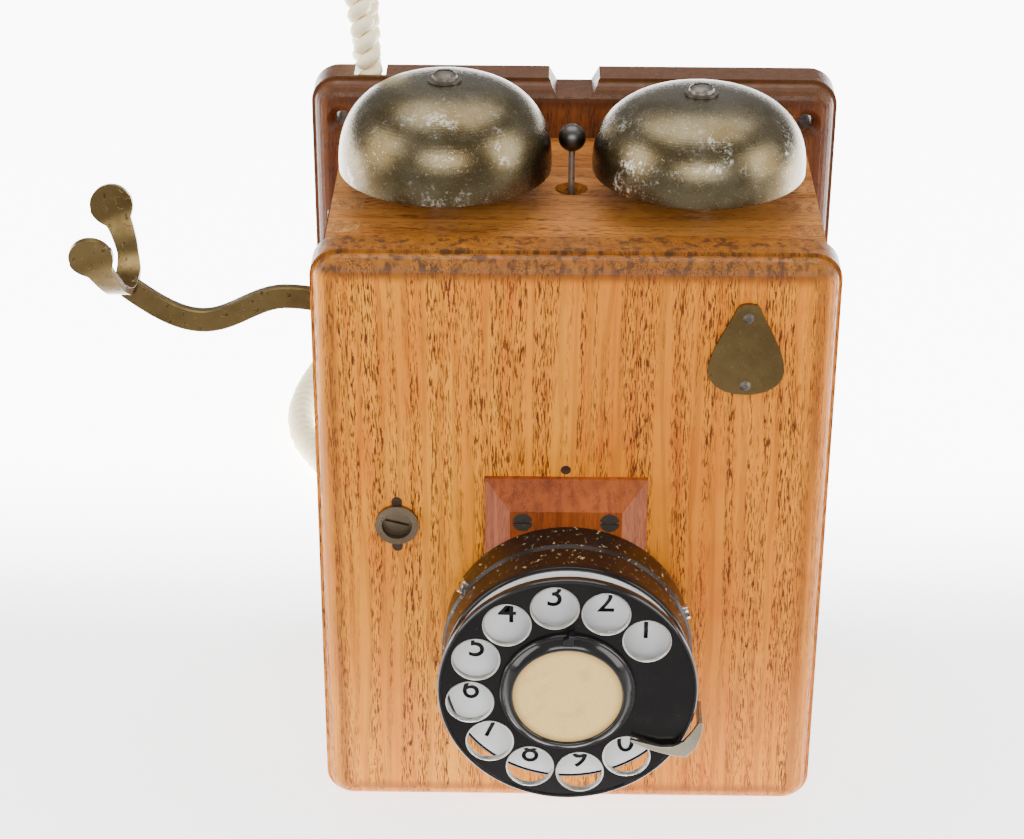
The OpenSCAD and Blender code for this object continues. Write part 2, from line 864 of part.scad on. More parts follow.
module ringer_magnet() {
    color("darkslategray")
    block(ringer_x - 8, ringer_x + 8, clapper_y + cheek_y + cheek_t + 1,
          clapper_y + cheek_y + cheek_t + 6, coil_bot_z + 2, top_under_z - frame_t);
}

module armature() {
    color("gray")
    difference() {
        union() {
            block(ringer_x - arm_l / 2, ringer_x + arm_l / 2, clapper_y - 5, clapper_y + 5,
                  arm_z - arm_t / 2, arm_z + arm_t / 2);
            translate([ringer_x, 0, arm_z]) {
                y_rod(3, clapper_y - cheek_y + 0.4, clapper_y + cheek_y - 0.4);
                y_rod(trunnion_r, clapper_y - cheek_y - cheek_t - 0.6,
                      clapper_y + cheek_y + cheek_t + 0.6);
            }
        }
        translate([ringer_x, clapper_y, arm_z - 1])
            cylinder(r = rod_r, h = 10);
    }
}

module clapper_rod() {
    color("gray")
    translate([ringer_x, clapper_y, arm_z - 1])
        cylinder(r = rod_r, h = ball_z - arm_z + 1);
}

module clapper_ball() {
    color("darkkhaki")
    translate([ringer_x, clapper_y, ball_z])
        difference() {
            sphere(r = ball_r);
            translate([0, 0, -ball_r - 1])
                cylinder(r = rod_r, h = ball_r + 1);
        }
}

// ---- electrical parts in the case ----

module induction_coil() {
    x0 = 4;
    y0 = case_front_y + 0.4 * case_d;
    z0 = wall_t;
    color("saddlebrown")
    union() {
        block(x0, x0 + 54, y0 - 12, y0 + 12, z0, z0 + 3);
        for (x = [x0, x0 + 50])
            block(x, x + 4, y0 - 12, y0 + 12, z0, z0 + 26);
        translate([0, y0, z0 + 15])
            x_rod(9.5, x0 + 4, x0 + 50);
    }
}

module condenser() {
    x0 = -40;
    y0 = case_front_y + 0.4 * case_d;
    color("lightslategray")
    union() {
        block(x0, x0 + 30, y0 - 16, y0 + 16, wall_t, wall_t + 50);
        for (s = [-1, 1])
            translate([x0 + 15, y0 + s * 9, wall_t + 50])
                cylinder(r = 2, h = 4);
    }
}

module terminal_block() {
    x0 = side_in_x - 44;
    z0 = 0.5 * case_h;
    color("sienna")
    union() {
        block(x0, x0 + 40, back_front_y, back_front_y - 8, z0, z0 + 16);
        for (i = [0 : 3])
            translate([x0 + 5 + i * 10, 0, z0 + 8]) {
                y_rod(3.2, back_front_y - 9.5, back_front_y - 8);
                y_rod(2, back_front_y - 12, back_front_y - 9.5);
            }
    }
}

// ---- door ----

plug_top_z = lock_z + 7.4;
plug_bot_z = lock_z - 8;
plug_w = 3.2;
round_plug_r = 1.5;
plug_t = 4;
cover_x = door_w / 2 - 26.7;
cover_z = door_h - 26.4;
cover_nails_z = [cover_z + 9.6, cover_z - 11.9];

// the slot that once took a key, filled with wood
module slot_plug(grow) {
    block(lock_x - plug_w / 2, lock_x + plug_w / 2, door_front_y - grow,
          door_front_y + plug_t, plug_bot_z, plug_top_z);
    for (z = [plug_bot_z, plug_top_z])
        translate([lock_x, 0, z])
            y_rod(plug_w / 2, door_front_y - grow, door_front_y + plug_t);
}

module round_plug(grow) {
    translate([dial_x - 1, 0, dial_z + cup_r + 14.7])
        y_rod(round_plug_r, door_front_y - grow, door_front_y + plug_t);
}

module wood_plugs() {
    color("sienna") {
        difference() {
            slot_plug(0);
            translate([lock_x, 0, lock_z])
                y_rod(lock_tube_r, door_front_y - 1, door_front_y + plug_t + 1);
        }
        round_plug(0);
    }
}

module door_panel() {
    color("peru")
    difference() {
        stand_board(door_back_y, door_z, door_h)
            rounded_board(door_w, door_h, door_t);
        for (z = hinge_zs) {
            block(hinge_axis_x - knuckle_r - leaf_w, door_w / 2 + 1,
                  door_back_y - leaf_t, door_back_y + 1, z, z + hinge_l);
            translate([hinge_axis_x, hinge_axis_y, z])
                cylinder(r = knuckle_r + 0.4, h = hinge_l);
        }
        for (p = hinge_screw_places)
            translate([p[0], 0, p[1]])
                y_rod(small_r, door_back_y - small_len, door_back_y + 1);
        for (sx = [-1, 1])
            translate([block_x + sx * block_screw_x, 0, block_screw_z])
                y_rod(screw_r, door_front_y - 1, door_front_y + 9);
        translate([lock_x, 0, lock_z])
            y_rod(lock_tube_r, door_front_y - 1, door_back_y + 1);
        slot_plug(1);
        round_plug(1);
        for (z = cover_nails_z)
            translate([cover_x, 0, z])
                y_rod(0.9, door_front_y - 1, door_front_y + 6);
        // wires of the dial
        translate([dial_x, 0, dial_z])
            y_rod(4, door_front_y - 1, door_back_y + 1);
    }
}

cover_half = [[0.9, 14], [2.4, 13.6], [3.4, 12.4], [4.2, 10.4], [5.6, 7.6], [7.6, 3.7],
              [9.4, -0.3], [10.6, -4.1], [11, -7.3], [10.4, -9.8], [8.6, -12.1],
              [6, -13.7], [3, -14.5], [0.8, -14.7]];
cover_t = 1.2;

module cover_plate() {
    n = len(cover_half) - 1;
    color("darkkhaki")
    difference() {
        translate([cover_x, door_front_y, cover_z])
            rotate([90, 0, 0])
                linear_extrude(cover_t)
                    polygon(concat(cover_half,
                        [for (i = [n : -1 : 0]) [-cover_half[i][0], cover_half[i][1]]]));
        for (z = cover_nails_z)
            translate([cover_x, 0, z])
                y_rod(0.9, door_front_y - cover_t - 1, door_front_y + 1);
    }
}

module cover_nails() {
    color("dimgray")
    for (z = cover_nails_z)
        translate([cover_x, 0, z])
            union() {
                y_rod(0.9, door_front_y - cover_t, door_front_y + 6);
                y_cone(0.8, 1.6, door_front_y - cover_t - 0.7, door_front_y - cover_t);
            }
}

module lock_bush() {
    color("silver")
    translate([lock_x, 0, lock_z])
        difference() {
            union() {
                y_rod(lock_tube_r, door_front_y, door_back_y);
                y_rod(lock_flange_r, door_front_y - lock_flange_t, door_front_y);
            }
            y_rod(lock_recess_r, door_front_y - lock_flange_t - 1,
                  door_front_y - lock_flange_t + lock_recess);
            y_rod(lock_r + run_gap, door_front_y - lock_flange_t - 1,
                  door_front_y - lock_flange_t + lock_recess + lock_head_t);
            y_rod(lock_r - 0.6 + run_gap, door_front_y - 1, door_back_y + 1);
        }
}

module lock_spindle() {
    head_y = door_front_y - lock_flange_t + lock_recess;
    color("gray")
    translate([lock_x, 0, lock_z])
        difference() {
            union() {
                y_rod(lock_r, head_y, head_y + lock_head_t - 0.3);
                y_rod(lock_r - 0.6, head_y + 1, cam_y + cam_t + 1);
                block(-2.5, 2.5, cam_y, cam_y + cam_t, 0, cam_reach);
            }
            rotate([0, 14, 0])
                block(-5, 5, head_y - 1, head_y + 1, -0.45, 0.45);
        }
}

// ---- dial ----

module dial_block() {
    color("sienna")
    difference() {
        intersection() {
            translate([block_x, door_front_y, dial_z - block_h / 2])
                linear_extrude(block_h)
                    polygon([[-block_w / 2, 0], [block_w / 2, 0],
                             [block_w / 2, -block_edge],
                             [block_w / 2 - block_bevel, -block_t],
                             [-block_w / 2 + block_bevel, -block_t],
                             [-block_w / 2, -block_edge]]);
            translate([block_x - block_w / 2, door_front_y, dial_z])
                rotate([90, 0, 90])
                    linear_extrude(block_w)
                        polygon([[0, -block_h / 2], [0, block_h / 2],
                                 [-block_edge, block_h / 2],
                                 [-block_t, block_h / 2 - block_bevel],
                                 [-block_t, -block_h / 2 + block_bevel],
                                 [-block_edge, -block_h / 2]]);
        }
        for (sx = [-1, 1])
            translate([block_x + sx * block_screw_x, 0, block_screw_z])
                sunk_hole(screw_r, screw_head_r - 0.4, block_front_y, block_t + 1, 1);
        translate([dial_x, 0, dial_z])
            y_rod(4, block_front_y - 1, door_front_y + 1);
    }
}

// moves children to the dial's centre, their +X turned to the given angle
module dial_polar(angle) {
    translate([dial_x, 0, dial_z])
        rotate([0, -angle, 0])
            children();
}

cup_screw_angles = [147, 19];
cup_screw_y = cup_front_y + 14.8 * lay;

module dial_cup() {
    color("black")
    difference() {
        dial_polar(0)
            union() {
                y_rod(cup_r, cup_front_y, block_front_y);
                translate([0, cup_front_y + cup_depth / 2, 0])
                    rotate([90, 0, 0])
                        rotate_extrude()
                            polygon([[cup_r - 1, -1.2], [cup_r, -1.2], [cup_r + 0.7, 0],
                                     [cup_r, 1.2], [cup_r - 1, 1.2]]);
            }
        dial_polar(0) {
            y_rod(frame_r, cup_front_y - 1, block_front_y - cup_wall);
            y_rod(4, block_front_y - cup_wall - 1, block_front_y + 1);
        }
        for (a = cup_screw_angles)
            dial_polar(a)
                translate([0, cup_screw_y, 0])
                    x_rod(small_r, frame_r - 1, cup_r + 2);
    }
}

module cup_screws() {
    color("silver")
    for (a = cup_screw_angles)
        dial_polar(a)
            union() {
                translate([0, cup_screw_y, 0])
                    x_rod(small_r, frame_r - frame_shell_t, cup_r);
                difference() {
                    translate([0, cup_screw_y, 0])
                        x_rod(small_head_r, cup_r - 1, cup_r + 1.5);
                    y_rod(cup_r, cup_screw_y - 4, cup_screw_y + 4);
                    translate([0, cup_screw_y, 0])
                        block(cup_r + 0.9, cup_r + 2, -3, 3, -0.35, 0.35);
                }
            }
}

module dial_frame() {
    color("gray")
    difference() {
        dial_polar(0)
            y_rod(frame_r, cup_front_y, rear_plate_y);
        dial_polar(0) {
            y_rod(frame_r - frame_shell_t, cup_front_y + 2 * lay, rear_plate_y + 1);
            y_rod(shaft_r + run_gap, cup_front_y - 1, cup_front_y + 3);
            translate([0, 0, impulse_at])
                y_rod(small_shaft_r + run_gap, cup_front_y - 1, cup_front_y + 3);
            translate([governor_dx, 0, governor_dz])
                y_rod(small_shaft_r + run_gap, cup_front_y - 1, cup_front_y + 3);
        }
        for (a = cup_screw_angles)
            dial_polar(a)
                translate([0, cup_screw_y, 0])
                    x_rod(small_r, frame_r - frame_shell_t - 1, cup_r);
    }
}

governor_dx = governor_at * cos(governor_angle);
governor_dz = impulse_at + governor_at * sin(governor_angle);

module dial_rear_plate() {
    color("darkkhaki")
    difference() {
        dial_polar(0)
            union() {
                y_rod(frame_r - 0.5, rear_plate_y, rear_plate_y + rear_plate_t);
                // anchor of the main spring
                block(12.3, 14.6, drum_y, rear_plate_y + 0.5, -6, -2);
            }
        dial_polar(0) {
            y_rod(shaft_r + run_gap, rear_plate_y - 1, rear_plate_y + rear_plate_t + 1);
            translate([0, 0, impulse_at])
                y_rod(small_shaft_r + run_gap, rear_plate_y - 1,
                      rear_plate_y + rear_plate_t + 1);
            translate([governor_dx, 0, governor_dz])
                y_rod(small_shaft_r + run_gap, rear_plate_y - 1,
                      rear_plate_y + rear_plate_t + 1);
        }
    }
}

// flat spiral of three and a half turns
spiral_n = 56;
function spiral_r(i) = 5 + 7.2 * i / spiral_n;
function spiral_a(i) = -20 - 360 * 3.5 * (spiral_n - i) / spiral_n;

module main_spring() {
    color("silver")
    dial_polar(0)
        translate([0, drum_y + drum_t - 0.6, 0])
            rotate([90, 0, 0])
                linear_extrude(drum_t - 1.2)
                    polygon(concat(
                        [for (i = [0 : spiral_n])
                            [spiral_r(i) * cos(spiral_a(i)), spiral_r(i) * sin(spiral_a(i))]],
                        [for (i = [spiral_n : -1 : 0])
                            [(spiral_r(i) + 0.9) * cos(spiral_a(i)),
                             (spiral_r(i) + 0.9) * sin(spiral_a(i))]]));
}

module pulse_contacts() {
    color("khaki")
    dial_polar(0)
        union() {
            block(12.5, 20.5, drum_y - 1, rear_plate_y, impulse_at - 5, impulse_at + 2.5);
            for (z = [-3, 1])
                block(6.5, 13, drum_y, drum_y + 3 * lay, impulse_at + z,
                      impulse_at + z + 0.5);
        }
}

module number_plate() {
    color("white")
    dial_polar(0)
        difference() {
            y_rod(cup_r - 1, cup_front_y - plate_t, cup_front_y);
            y_rod(shaft_r + 1.5, cup_front_y - plate_t - 1, cup_front_y + 1);
        }
}

module finger_stop() {
    arm_y = wheel_front_y - 1.3;
    half = stop_w / 2;
    color("silver")
    dial_polar(stop_angle)
        difference() {
            union() {
                block(cup_r - 1, stop_r + 1.8, cup_front_y + 4, cup_front_y + 9, -half, half);
                block(stop_r, stop_r + 1.8, arm_y - 1.5, cup_front_y + 5, -half, half);
                translate([stop_r, 0, 0])
                    rotate([0, -stop_bend, 0])
                        block(-17, 1.4, arm_y - 1.5, arm_y, -half, half);
            }
            y_rod(cup_r, cup_front_y + 3, cup_front_y + 10);
        }
}

module finger_wheel() {
    color("black")
    dial_polar(0)
        difference() {
            union() {
                y_rod(wheel_r, wheel_front_y, wheel_back_y);
                y_rod(6.5, wheel_back_y, cup_front_y - plate_t - 0.5);
            }
            for (i = [0 : 9]) {
                a = finger_first + finger_step * i;
                translate([finger_ring_r * cos(a), 0, finger_ring_r * sin(a)])
                    y_rod(finger_r, wheel_front_y - 1, wheel_back_y + 1);
            }
            y_rod(shaft_r, wheel_front_y - 1, cup_front_y);
        }
}

module card_retainer() {
    color("dimgray")
    dial_polar(0)
        difference() {
            y_rod(retainer_r, wheel_front_y - 1.2, wheel_front_y);
            y_rod(card_r, wheel_front_y - 2, wheel_front_y + 1);
        }
}

module number_card() {
    color("wheat")
    dial_polar(0)
        y_rod(card_r, wheel_front_y - 0.4, wheel_front_y);
}

module main_shaft() {
    color("gray")
    dial_polar(0) {
        y_rod(shaft_r, wheel_front_y, rear_plate_y + rear_plate_t + 0.4);
        y_rod(gear_r, gear_y, gear_y + dial_wheel_t);
    }
}

module impulse_wheel() {
    color("darkkhaki")
    dial_polar(0)
        translate([0, 0, impulse_at]) {
            y_rod(small_shaft_r, cup_front_y + 0.5, rear_plate_y + rear_plate_t + 0.4);
            y_rod(impulse_r, gear_y, gear_y + dial_wheel_t);
            y_rod(brake_gear_r, brake_y, brake_y + dial_wheel_t);
            difference() {
                y_rod(5, drum_y, drum_y + 3 * lay);
                for (a = [30, 150, 270])
                    rotate([0, a, 0])
                        block(3.4, 6, drum_y - 1, drum_y + 5, -1, 1);
            }
        }
}

module governor() {
    color("darkgoldenrod")
    dial_polar(0)
        translate([governor_dx, 0, governor_dz]) {
            y_rod(small_shaft_r, cup_front_y + 0.5, rear_plate_y + rear_plate_t + 0.4);
            y_rod(governor_r, brake_y, brake_y + dial_wheel_t);
            y_rod(4.6, drum_y, drum_y + drum_t);
        }
}

// ---- cord and handset ----

module cord_bush() {
    color("black")
    difference() {
        block(groove_x - groove_w / 2, groove_x + groove_w / 2,
              rear_y - groove_depth, rear_y, groove_foot_z + 11, groove_foot_z + 24);
        translate([groove_x, groove_y, groove_foot_z + 10])
            cylinder(r = cord_lead_r + 0.1, h = 15);
    }
}

// the route follows the board sizes
function follow(p) = [
    p[0] + groove_x + 64.5,
    p[1] + rear_y - 8,
    p[2] + (back_h - 205.2) * min(1, max(0, (p[2] - 60) / 100))];
cord_points = [for (p = cord_route) follow(p)];

function unit(v) = v / norm(v);
// smooth curve through four points
function spline(a, b, c, d, t) = 0.5 * (2 * b + (c - a) * t
    + (2 * a - 5 * b + 4 * c - d) * t * t + (3 * b - a - 3 * c + d) * t * t * t);
function route_at(i, t) = let (n = len(cord_points) - 1)
    spline(cord_points[max(i - 1, 0)], cord_points[i], cord_points[min(i + 1, n)],
           cord_points[min(i + 2, n)], t);
cord_n = (len(cord_points) - 1) * cord_steps;
cord_line = [for (k = [0 : cord_n])
    let (i = min(floor(k / cord_steps), len(cord_points) - 2))
    route_at(i, k / cord_steps - i)];
cord_radii = [for (k = [0 : cord_n])
    let (i = min(floor(k / cord_steps), len(cord_points) - 2), t = k / cord_steps - i)
    cord_route[i][3] * (1 - t) + cord_route[i + 1][3] * t];
function tangent(k) = unit(cord_line[min(k + 1, cord_n)] - cord_line[max(k - 1, 0)]);
// side direction carried along the line without twist
function carry(s, t) = unit(s - t * (s * t));
function sides(k, s) = k > cord_n ? []
    : let (v = carry(s, tangent(k))) concat([v], sides(k + 1, v));
cord_side = sides(0, [1, 0, 0]);

module handset_cord() {
    m = cord_sides;
    pts = [for (k = [0 : cord_n], j = [0 : m - 1])
        let (a = 360 * j / m, u = cord_side[k], w = cross(tangent(k), u))
        cord_line[k] + cord_radii[k] * (cos(a) * u + sin(a) * w)];
    walls = [for (k = [0 : cord_n - 1], j = [0 : m - 1], h = [0, 1])
        let (a = k * m + j, b = k * m + (j + 1) % m)
        h == 0 ? [a, a + m, b + m] : [a, b + m, b]];
    ends = [[for (j = [0 : m - 1]) j], [for (j = [m - 1 : -1 : 0]) cord_n * m + j]];
    color("wheat")
    polyhedron(points = pts, faces = concat(walls, ends));
}

// places children on the handset's own axes: +Y towards the mouth end
module on_handset() {
    translate([handset_at[0], handset_at[1], 0])
        rotate([0, 0, handset_turn])
            children();
}

// cavity radius of a head with the cap radius r
function cavity_r(r) = r - 11;

module head(r) {
    rotate_extrude()
        polygon([[0, spigot_z], [r - spigot_in, spigot_z], [r - spigot_in, cap_h],
                 [r, cap_h], [r - 1, cap_h + 4], [r - 6, cap_h + 11],
                 [neck_r + 2, head_top_z], [0, head_top_z]]);
}

module handset_handle() {
    y1 = cap_span / 2;
    color("black")
    on_handset()
        difference() {
            union() {
                translate([0, -y1, 0]) head(ear_r);
                translate([0, y1, 0]) head(mouth_r);
                for (s = [-1, 1]) {
                    translate([0, s * y1, head_top_z - 4])
                        cylinder(r = neck_r, h = handle_z - head_top_z + 4);
                    translate([0, s * y1, handle_z])
                        sphere(r = neck_r);
                }
                translate([0, 0, handle_z])
                    y_rod(handle_r, -y1, y1);
            }
            for (h = [[-y1, cavity_r(ear_r)], [y1, cavity_r(mouth_r)]])
                translate([0, h[0], spigot_z - 1])
                    cylinder(r = h[1], h = 13);
            translate([0, 0, exit_z])
                y_rod(exit_r, y1 + cavity_r(mouth_r) - 3, y1 + mouth_r + 3);
        }
}

module cap(r, holes_r) {
    difference() {
        rotate_extrude()
            polygon([[0, 1], [r * 0.45, 1], [r * 0.75, 0], [r - 2.5, 0], [r, 3],
                     [r, cap_h], [0, cap_h]]);
        translate([0, 0, 4])
            cylinder(r = r - spigot_in, h = cap_h);
        translate([0, 0, -1])
            cylinder(r = 1.6, h = 6);
        for (i = [0 : 5])
            rotate([0, 0, 60 * i])
                translate([holes_r, 0, -1])
                    cylinder(r = 1.6, h = 6);
    }
}

module ear_cap() {
    color("black")
    on_handset()
        translate([0, -cap_span / 2, 0])
            cap(ear_r, 6.5);
}

module mouth_cap() {
    color("black")
    on_handset()
        translate([0, cap_span / 2, 0])
            cap(mouth_r, 8.5);
}

module capsule(r) {
    cylinder(r = r - spigot_in - 0.5, h = spigot_z - 4);
    translate([0, 0, spigot_z - 5])
        cylinder(r = cavity_r(r) - 1.5, h = 11);
}

module receiver_capsule() {
    color("silver")
    on_handset()
        translate([0, -cap_span / 2, 4])
            capsule(ear_r);
}

module transmitter_capsule() {
    color("silver")
    on_handset()
        translate([0, cap_span / 2, 4])
            capsule(mouth_r);
}

module handset_bush() {
    color("black")
    on_handset()
        translate([0, 0, exit_z])
            difference() {
                union() {
                    y_rod(exit_r - 0.03, cap_span / 2 + mouth_r - 6,
                          cap_span / 2 + mouth_r + 6);
                    y_rod(exit_r + 1.4, cap_span / 2 + mouth_r + 0.5,
                          cap_span / 2 + mouth_r + 4);
                }
                y_rod(cord_lead_r + 0.1, 90, cap_span / 2 + mouth_r + 7);
            }
}

backboard();
case_left_board();
case_right_board();
case_top_board();
case_bottom_board();
case_screws();
case_hinge_leaves();
hinge_pins();
lock_keeper();
hook_escutcheon();
small_screws();
hook_bracket();
hook_pivot_pin();
hook_return_spring();
hook_contact_springs();
gong_left();
gong_right();
gong_posts();
gong_screws();
ringer_frame();
ringer_coils();
ringer_magnet();
induction_coil();
condenser();
terminal_block();
cord_bush();
handset_cord();
handset_handle();
ear_cap();
mouth_cap();
receiver_capsule();
transmitter_capsule();
handset_bush();
door_panel();
door_hinge_leaves();
wood_plugs();
cover_plate();
cover_nails();
lock_bush();
dial_block();
door_screws();
dial_cup();
cup_screws();
dial_frame();
dial_rear_plate();
number_plate();
finger_stop();
main_spring();
pulse_contacts();
finger_wheel();
card_retainer();
number_card();
main_shaft();
impulse_wheel();
governor();
lock_spindle();
hook_lever();
armature();
clapper_rod();
clapper_ball();
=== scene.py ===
import bpy
import math
from mathutils import Matrix, Vector


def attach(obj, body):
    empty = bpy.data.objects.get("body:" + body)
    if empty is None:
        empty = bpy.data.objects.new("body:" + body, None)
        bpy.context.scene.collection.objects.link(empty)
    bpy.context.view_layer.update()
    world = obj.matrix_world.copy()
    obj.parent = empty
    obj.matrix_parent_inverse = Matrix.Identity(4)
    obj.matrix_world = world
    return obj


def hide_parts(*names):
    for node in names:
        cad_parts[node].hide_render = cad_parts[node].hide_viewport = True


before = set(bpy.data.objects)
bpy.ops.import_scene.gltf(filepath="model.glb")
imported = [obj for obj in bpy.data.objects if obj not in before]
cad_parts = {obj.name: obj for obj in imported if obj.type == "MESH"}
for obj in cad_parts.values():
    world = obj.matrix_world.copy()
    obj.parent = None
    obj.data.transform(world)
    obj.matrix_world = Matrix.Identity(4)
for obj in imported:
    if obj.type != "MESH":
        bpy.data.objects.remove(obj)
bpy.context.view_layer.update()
MM = 0.001

# ---------------------------------------------------------------- camera

def aim_camera():
    """Stands in front of the telephone, a little above it."""
    pitch, turn, roll = (math.radians(a) for a in (28.083, 0.721, 0.233))
    forward = Vector((-math.sin(turn) * math.cos(pitch),
                      math.cos(turn) * math.cos(pitch), -math.sin(pitch)))
    right = Vector((math.cos(turn), math.sin(turn), 0))
    up = right.cross(forward)
    right, up = (right * math.cos(roll) + up * math.sin(roll),
                 up * math.cos(roll) - right * math.sin(roll))
    data = bpy.data.cameras.new("camera")
    data.lens = 89.44
    data.sensor_width = 36
    data.clip_start, data.clip_end = 0.05, 20
    cam = bpy.data.objects.new("camera", data)
    m = Matrix((right, up, -forward)).transposed().to_4x4()
    m.translation = Vector((-9.68, -759.87, 487.09)) * MM
    cam.matrix_world = m
    bpy.context.collection.objects.link(cam)
    bpy.context.scene.camera = cam


aim_camera()

# ---------------------------------------------------------------- node helpers

def link_in(nt, value, socket):
    """Gives a socket a constant or joins another node's output to it."""
    if isinstance(value, bpy.types.NodeSocket):
        nt.links.new(value, socket)
    elif isinstance(value, (tuple, list)) and len(value) == 3 and len(socket.default_value) == 4:
        socket.default_value = (*value, 1)
    else:
        socket.default_value = value


def put(nt, kind, out=0, **values):
    """Adds a node. A keyword that names a property sets it; in_0, in_1 ... set its inputs."""
    n = nt.nodes.new(kind)
    for key, value in values.items():
        if not key.startswith("in_"):
            setattr(n, key, value)
    for key, value in values.items():
        if key.startswith("in_"):
            k = key[3:]
            link_in(nt, value, n.inputs[int(k) if k.isdigit() else k.replace("_", " ")])
    return n.outputs[out]


def maths(nt, op, a, b=0.0, c=0.0, clamp=False):
    return put(nt, "ShaderNodeMath", operation=op, use_clamp=clamp, in_0=a, in_1=b, in_2=c)


def blend_of(nt, mask, a, b, how="MIX"):
    n = nt.nodes.new("ShaderNodeMix")
    n.data_type = "RGBA"
    n.blend_type = how
    link_in(nt, mask, n.inputs[0])
    link_in(nt, a, n.inputs[6])
    link_in(nt, b, n.inputs[7])
    return n.outputs[2]


def fade(nt, value, low, high, a=0.0, b=1.0):
    return put(nt, "ShaderNodeMapRange", interpolation_type="SMOOTHSTEP", in_0=value,
               in_1=low, in_2=high, in_3=a, in_4=b)


def noise(nt, vector, scale, detail=3.0, rough=0.5, out=0):
    return put(nt, "ShaderNodeTexNoise", out=out, in_Vector=vector, in_Scale=scale,
               in_Detail=detail, in_Roughness=rough)


def stretched(nt, vector, x, y, z):
    return put(nt, "ShaderNodeVectorMath", operation="MULTIPLY", in_0=vector, in_1=(x, y, z))


def new_group(name, inputs, outputs):
    """A shader node group; inputs are name, kind, default."""
    g = bpy.data.node_groups.new(name, "ShaderNodeTree")
    for label, kind, default in inputs:
        s = g.interface.new_socket(name=label, in_out="INPUT", socket_type="NodeSocket" + kind)
        if default is not None:
            s.default_value = (*default, 1) if kind == "Color" else default
    for label, kind in outputs:
        g.interface.new_socket(name=label, in_out="OUTPUT", socket_type="NodeSocket" + kind)
    return g, g.nodes.new("NodeGroupInput").outputs, g.nodes.new("NodeGroupOutput").inputs


# ---------------------------------------------------------------- shared effects

def make_oak_grain():
    """Oak figure. The vector comes in with the grain running along its Z."""
    g, i, o = new_group("oak_grain",
        [("Vector", "Vector", None), ("Light", "Color", (0.75, 0.36, 0.1)),
         ("Mid", "Color", (0.55, 0.22, 0.05)), ("Dark", "Color", (0.16, 0.05, 0.012)),
         ("Pores", "Float", 0.8)],
        [("Color", "Color"), ("Height", "Float"), ("Roughness", "Float")])
    v = i["Vector"]
    bend = put(g, "ShaderNodeTexNoise", out=1, in_Vector=stretched(g, v, 14, 14, 3),
               in_Scale=1.0, in_Detail=2.0)
    wander = put(g, "ShaderNodeVectorMath", operation="MULTIPLY_ADD", in_0=bend,
                 in_1=(0.012, 0.012, 0.0), in_2=v)
    rings = put(g, "ShaderNodeTexWave", out=1, wave_type="BANDS", bands_direction="X",
                in_Vector=stretched(g, wander, 1, 1, 0.12), in_Scale=70.0,
                in_Distortion=7.0, in_Detail=3.0, in_Detail_Scale=1.6)
    broad = noise(g, stretched(g, wander, 26, 26, 3.2), 1.0, 4.0, 0.55)
    colour = blend_of(g, fade(g, broad, 0.32, 0.68), i["Light"], i["Mid"])
    ring_line = maths(g, "MULTIPLY", fade(g, rings, 0.55, 0.95), 0.2)
    colour = blend_of(g, ring_line, colour, i["Dark"])
    fine = noise(g, stretched(g, wander, 3000, 3000, 270), 1.0, 2.0, 0.6)
    gate = maths(g, "MULTIPLY",
                 fade(g, noise(g, stretched(g, wander, 340, 340, 7), 1.0, 2.0), 0.36, 0.54),
                 fade(g, noise(g, stretched(g, v, 70, 70, 12), 1.0, 2.0), 0.30, 0.55, 0.6, 1.0))
    pores = maths(g, "MULTIPLY", maths(g, "MULTIPLY", fade(g, fine, 0.51, 0.58), gate),
                  i["Pores"])
    colour = blend_of(g, pores, colour, i["Dark"])
    streak = noise(g, stretched(g, wander, 420, 420, 10), 1.0, 2.0, 0.6)
    colour = blend_of(g, fade(g, streak, 0.42, 0.72, 0.0, 0.32), colour, i["Mid"], "MULTIPLY")
    g.links.new(colour, o["Color"])
    g.links.new(maths(g, "MULTIPLY_ADD", pores, -0.8, maths(g, "MULTIPLY", broad, 0.25)),
                o["Height"])
    g.links.new(maths(g, "MULTIPLY_ADD", pores, 0.3, maths(g, "MULTIPLY_ADD", broad, 0.16, 0.26)),
                o["Roughness"])
    return g


def make_panel_edge():
    """Masks for painted shade on an upright board: Mask is 1 on its outer band and 0 on its field,
    Top marks a strip under its top edge and Line a thin line inset from its edge.
    """
    g, i, o = new_group("panel_edge",
        [("Vector", "Vector", None), ("Centre X", "Float", 0.0), ("Centre Z", "Float", 0.095),
         ("Half width", "Float", 0.076), ("Half height", "Float", 0.0945),
         ("Band", "Float", 0.008)],
        [("Mask", "Float"), ("Top", "Float"), ("Line", "Float")])
    sep = g.nodes.new("ShaderNodeSeparateXYZ")
    g.links.new(i["Vector"], sep.inputs[0])
    dx = maths(g, "ABSOLUTE", maths(g, "SUBTRACT", sep.outputs[0], i["Centre X"]))
    up = maths(g, "SUBTRACT", sep.outputs[2], i["Centre Z"])
    dz = maths(g, "ABSOLUTE", up)
    gap = maths(g, "MINIMUM", maths(g, "SUBTRACT", i["Half width"], dx),
                maths(g, "SUBTRACT", i["Half height"], dz))
    rough = noise(g, i["Vector"], 260.0, 3.0)
    gap = maths(g, "MULTIPLY_ADD", maths(g, "SUBTRACT", rough, 0.5), 0.0012, gap)
    scaled = maths(g, "DIVIDE", gap, i["Band"])
    g.links.new(fade(g, scaled, 0.75, 1.1, 1.0, 0.0), o["Mask"])
    # Top: a strip under the top edge, used for painted shade on the top bevel.
    g.links.new(fade(g, maths(g, "SUBTRACT", up, i["Half height"]), -0.0075, -0.0045), o["Top"])
    # Line: a thin line inset from the edge, used for the painted shade of a groove.
    line = maths(g, "MULTIPLY", fade(g, scaled, 0.55, 0.85), fade(g, scaled, 0.85, 1.25, 1.0, 0.0))
    g.links.new(line, o["Line"])
    return g


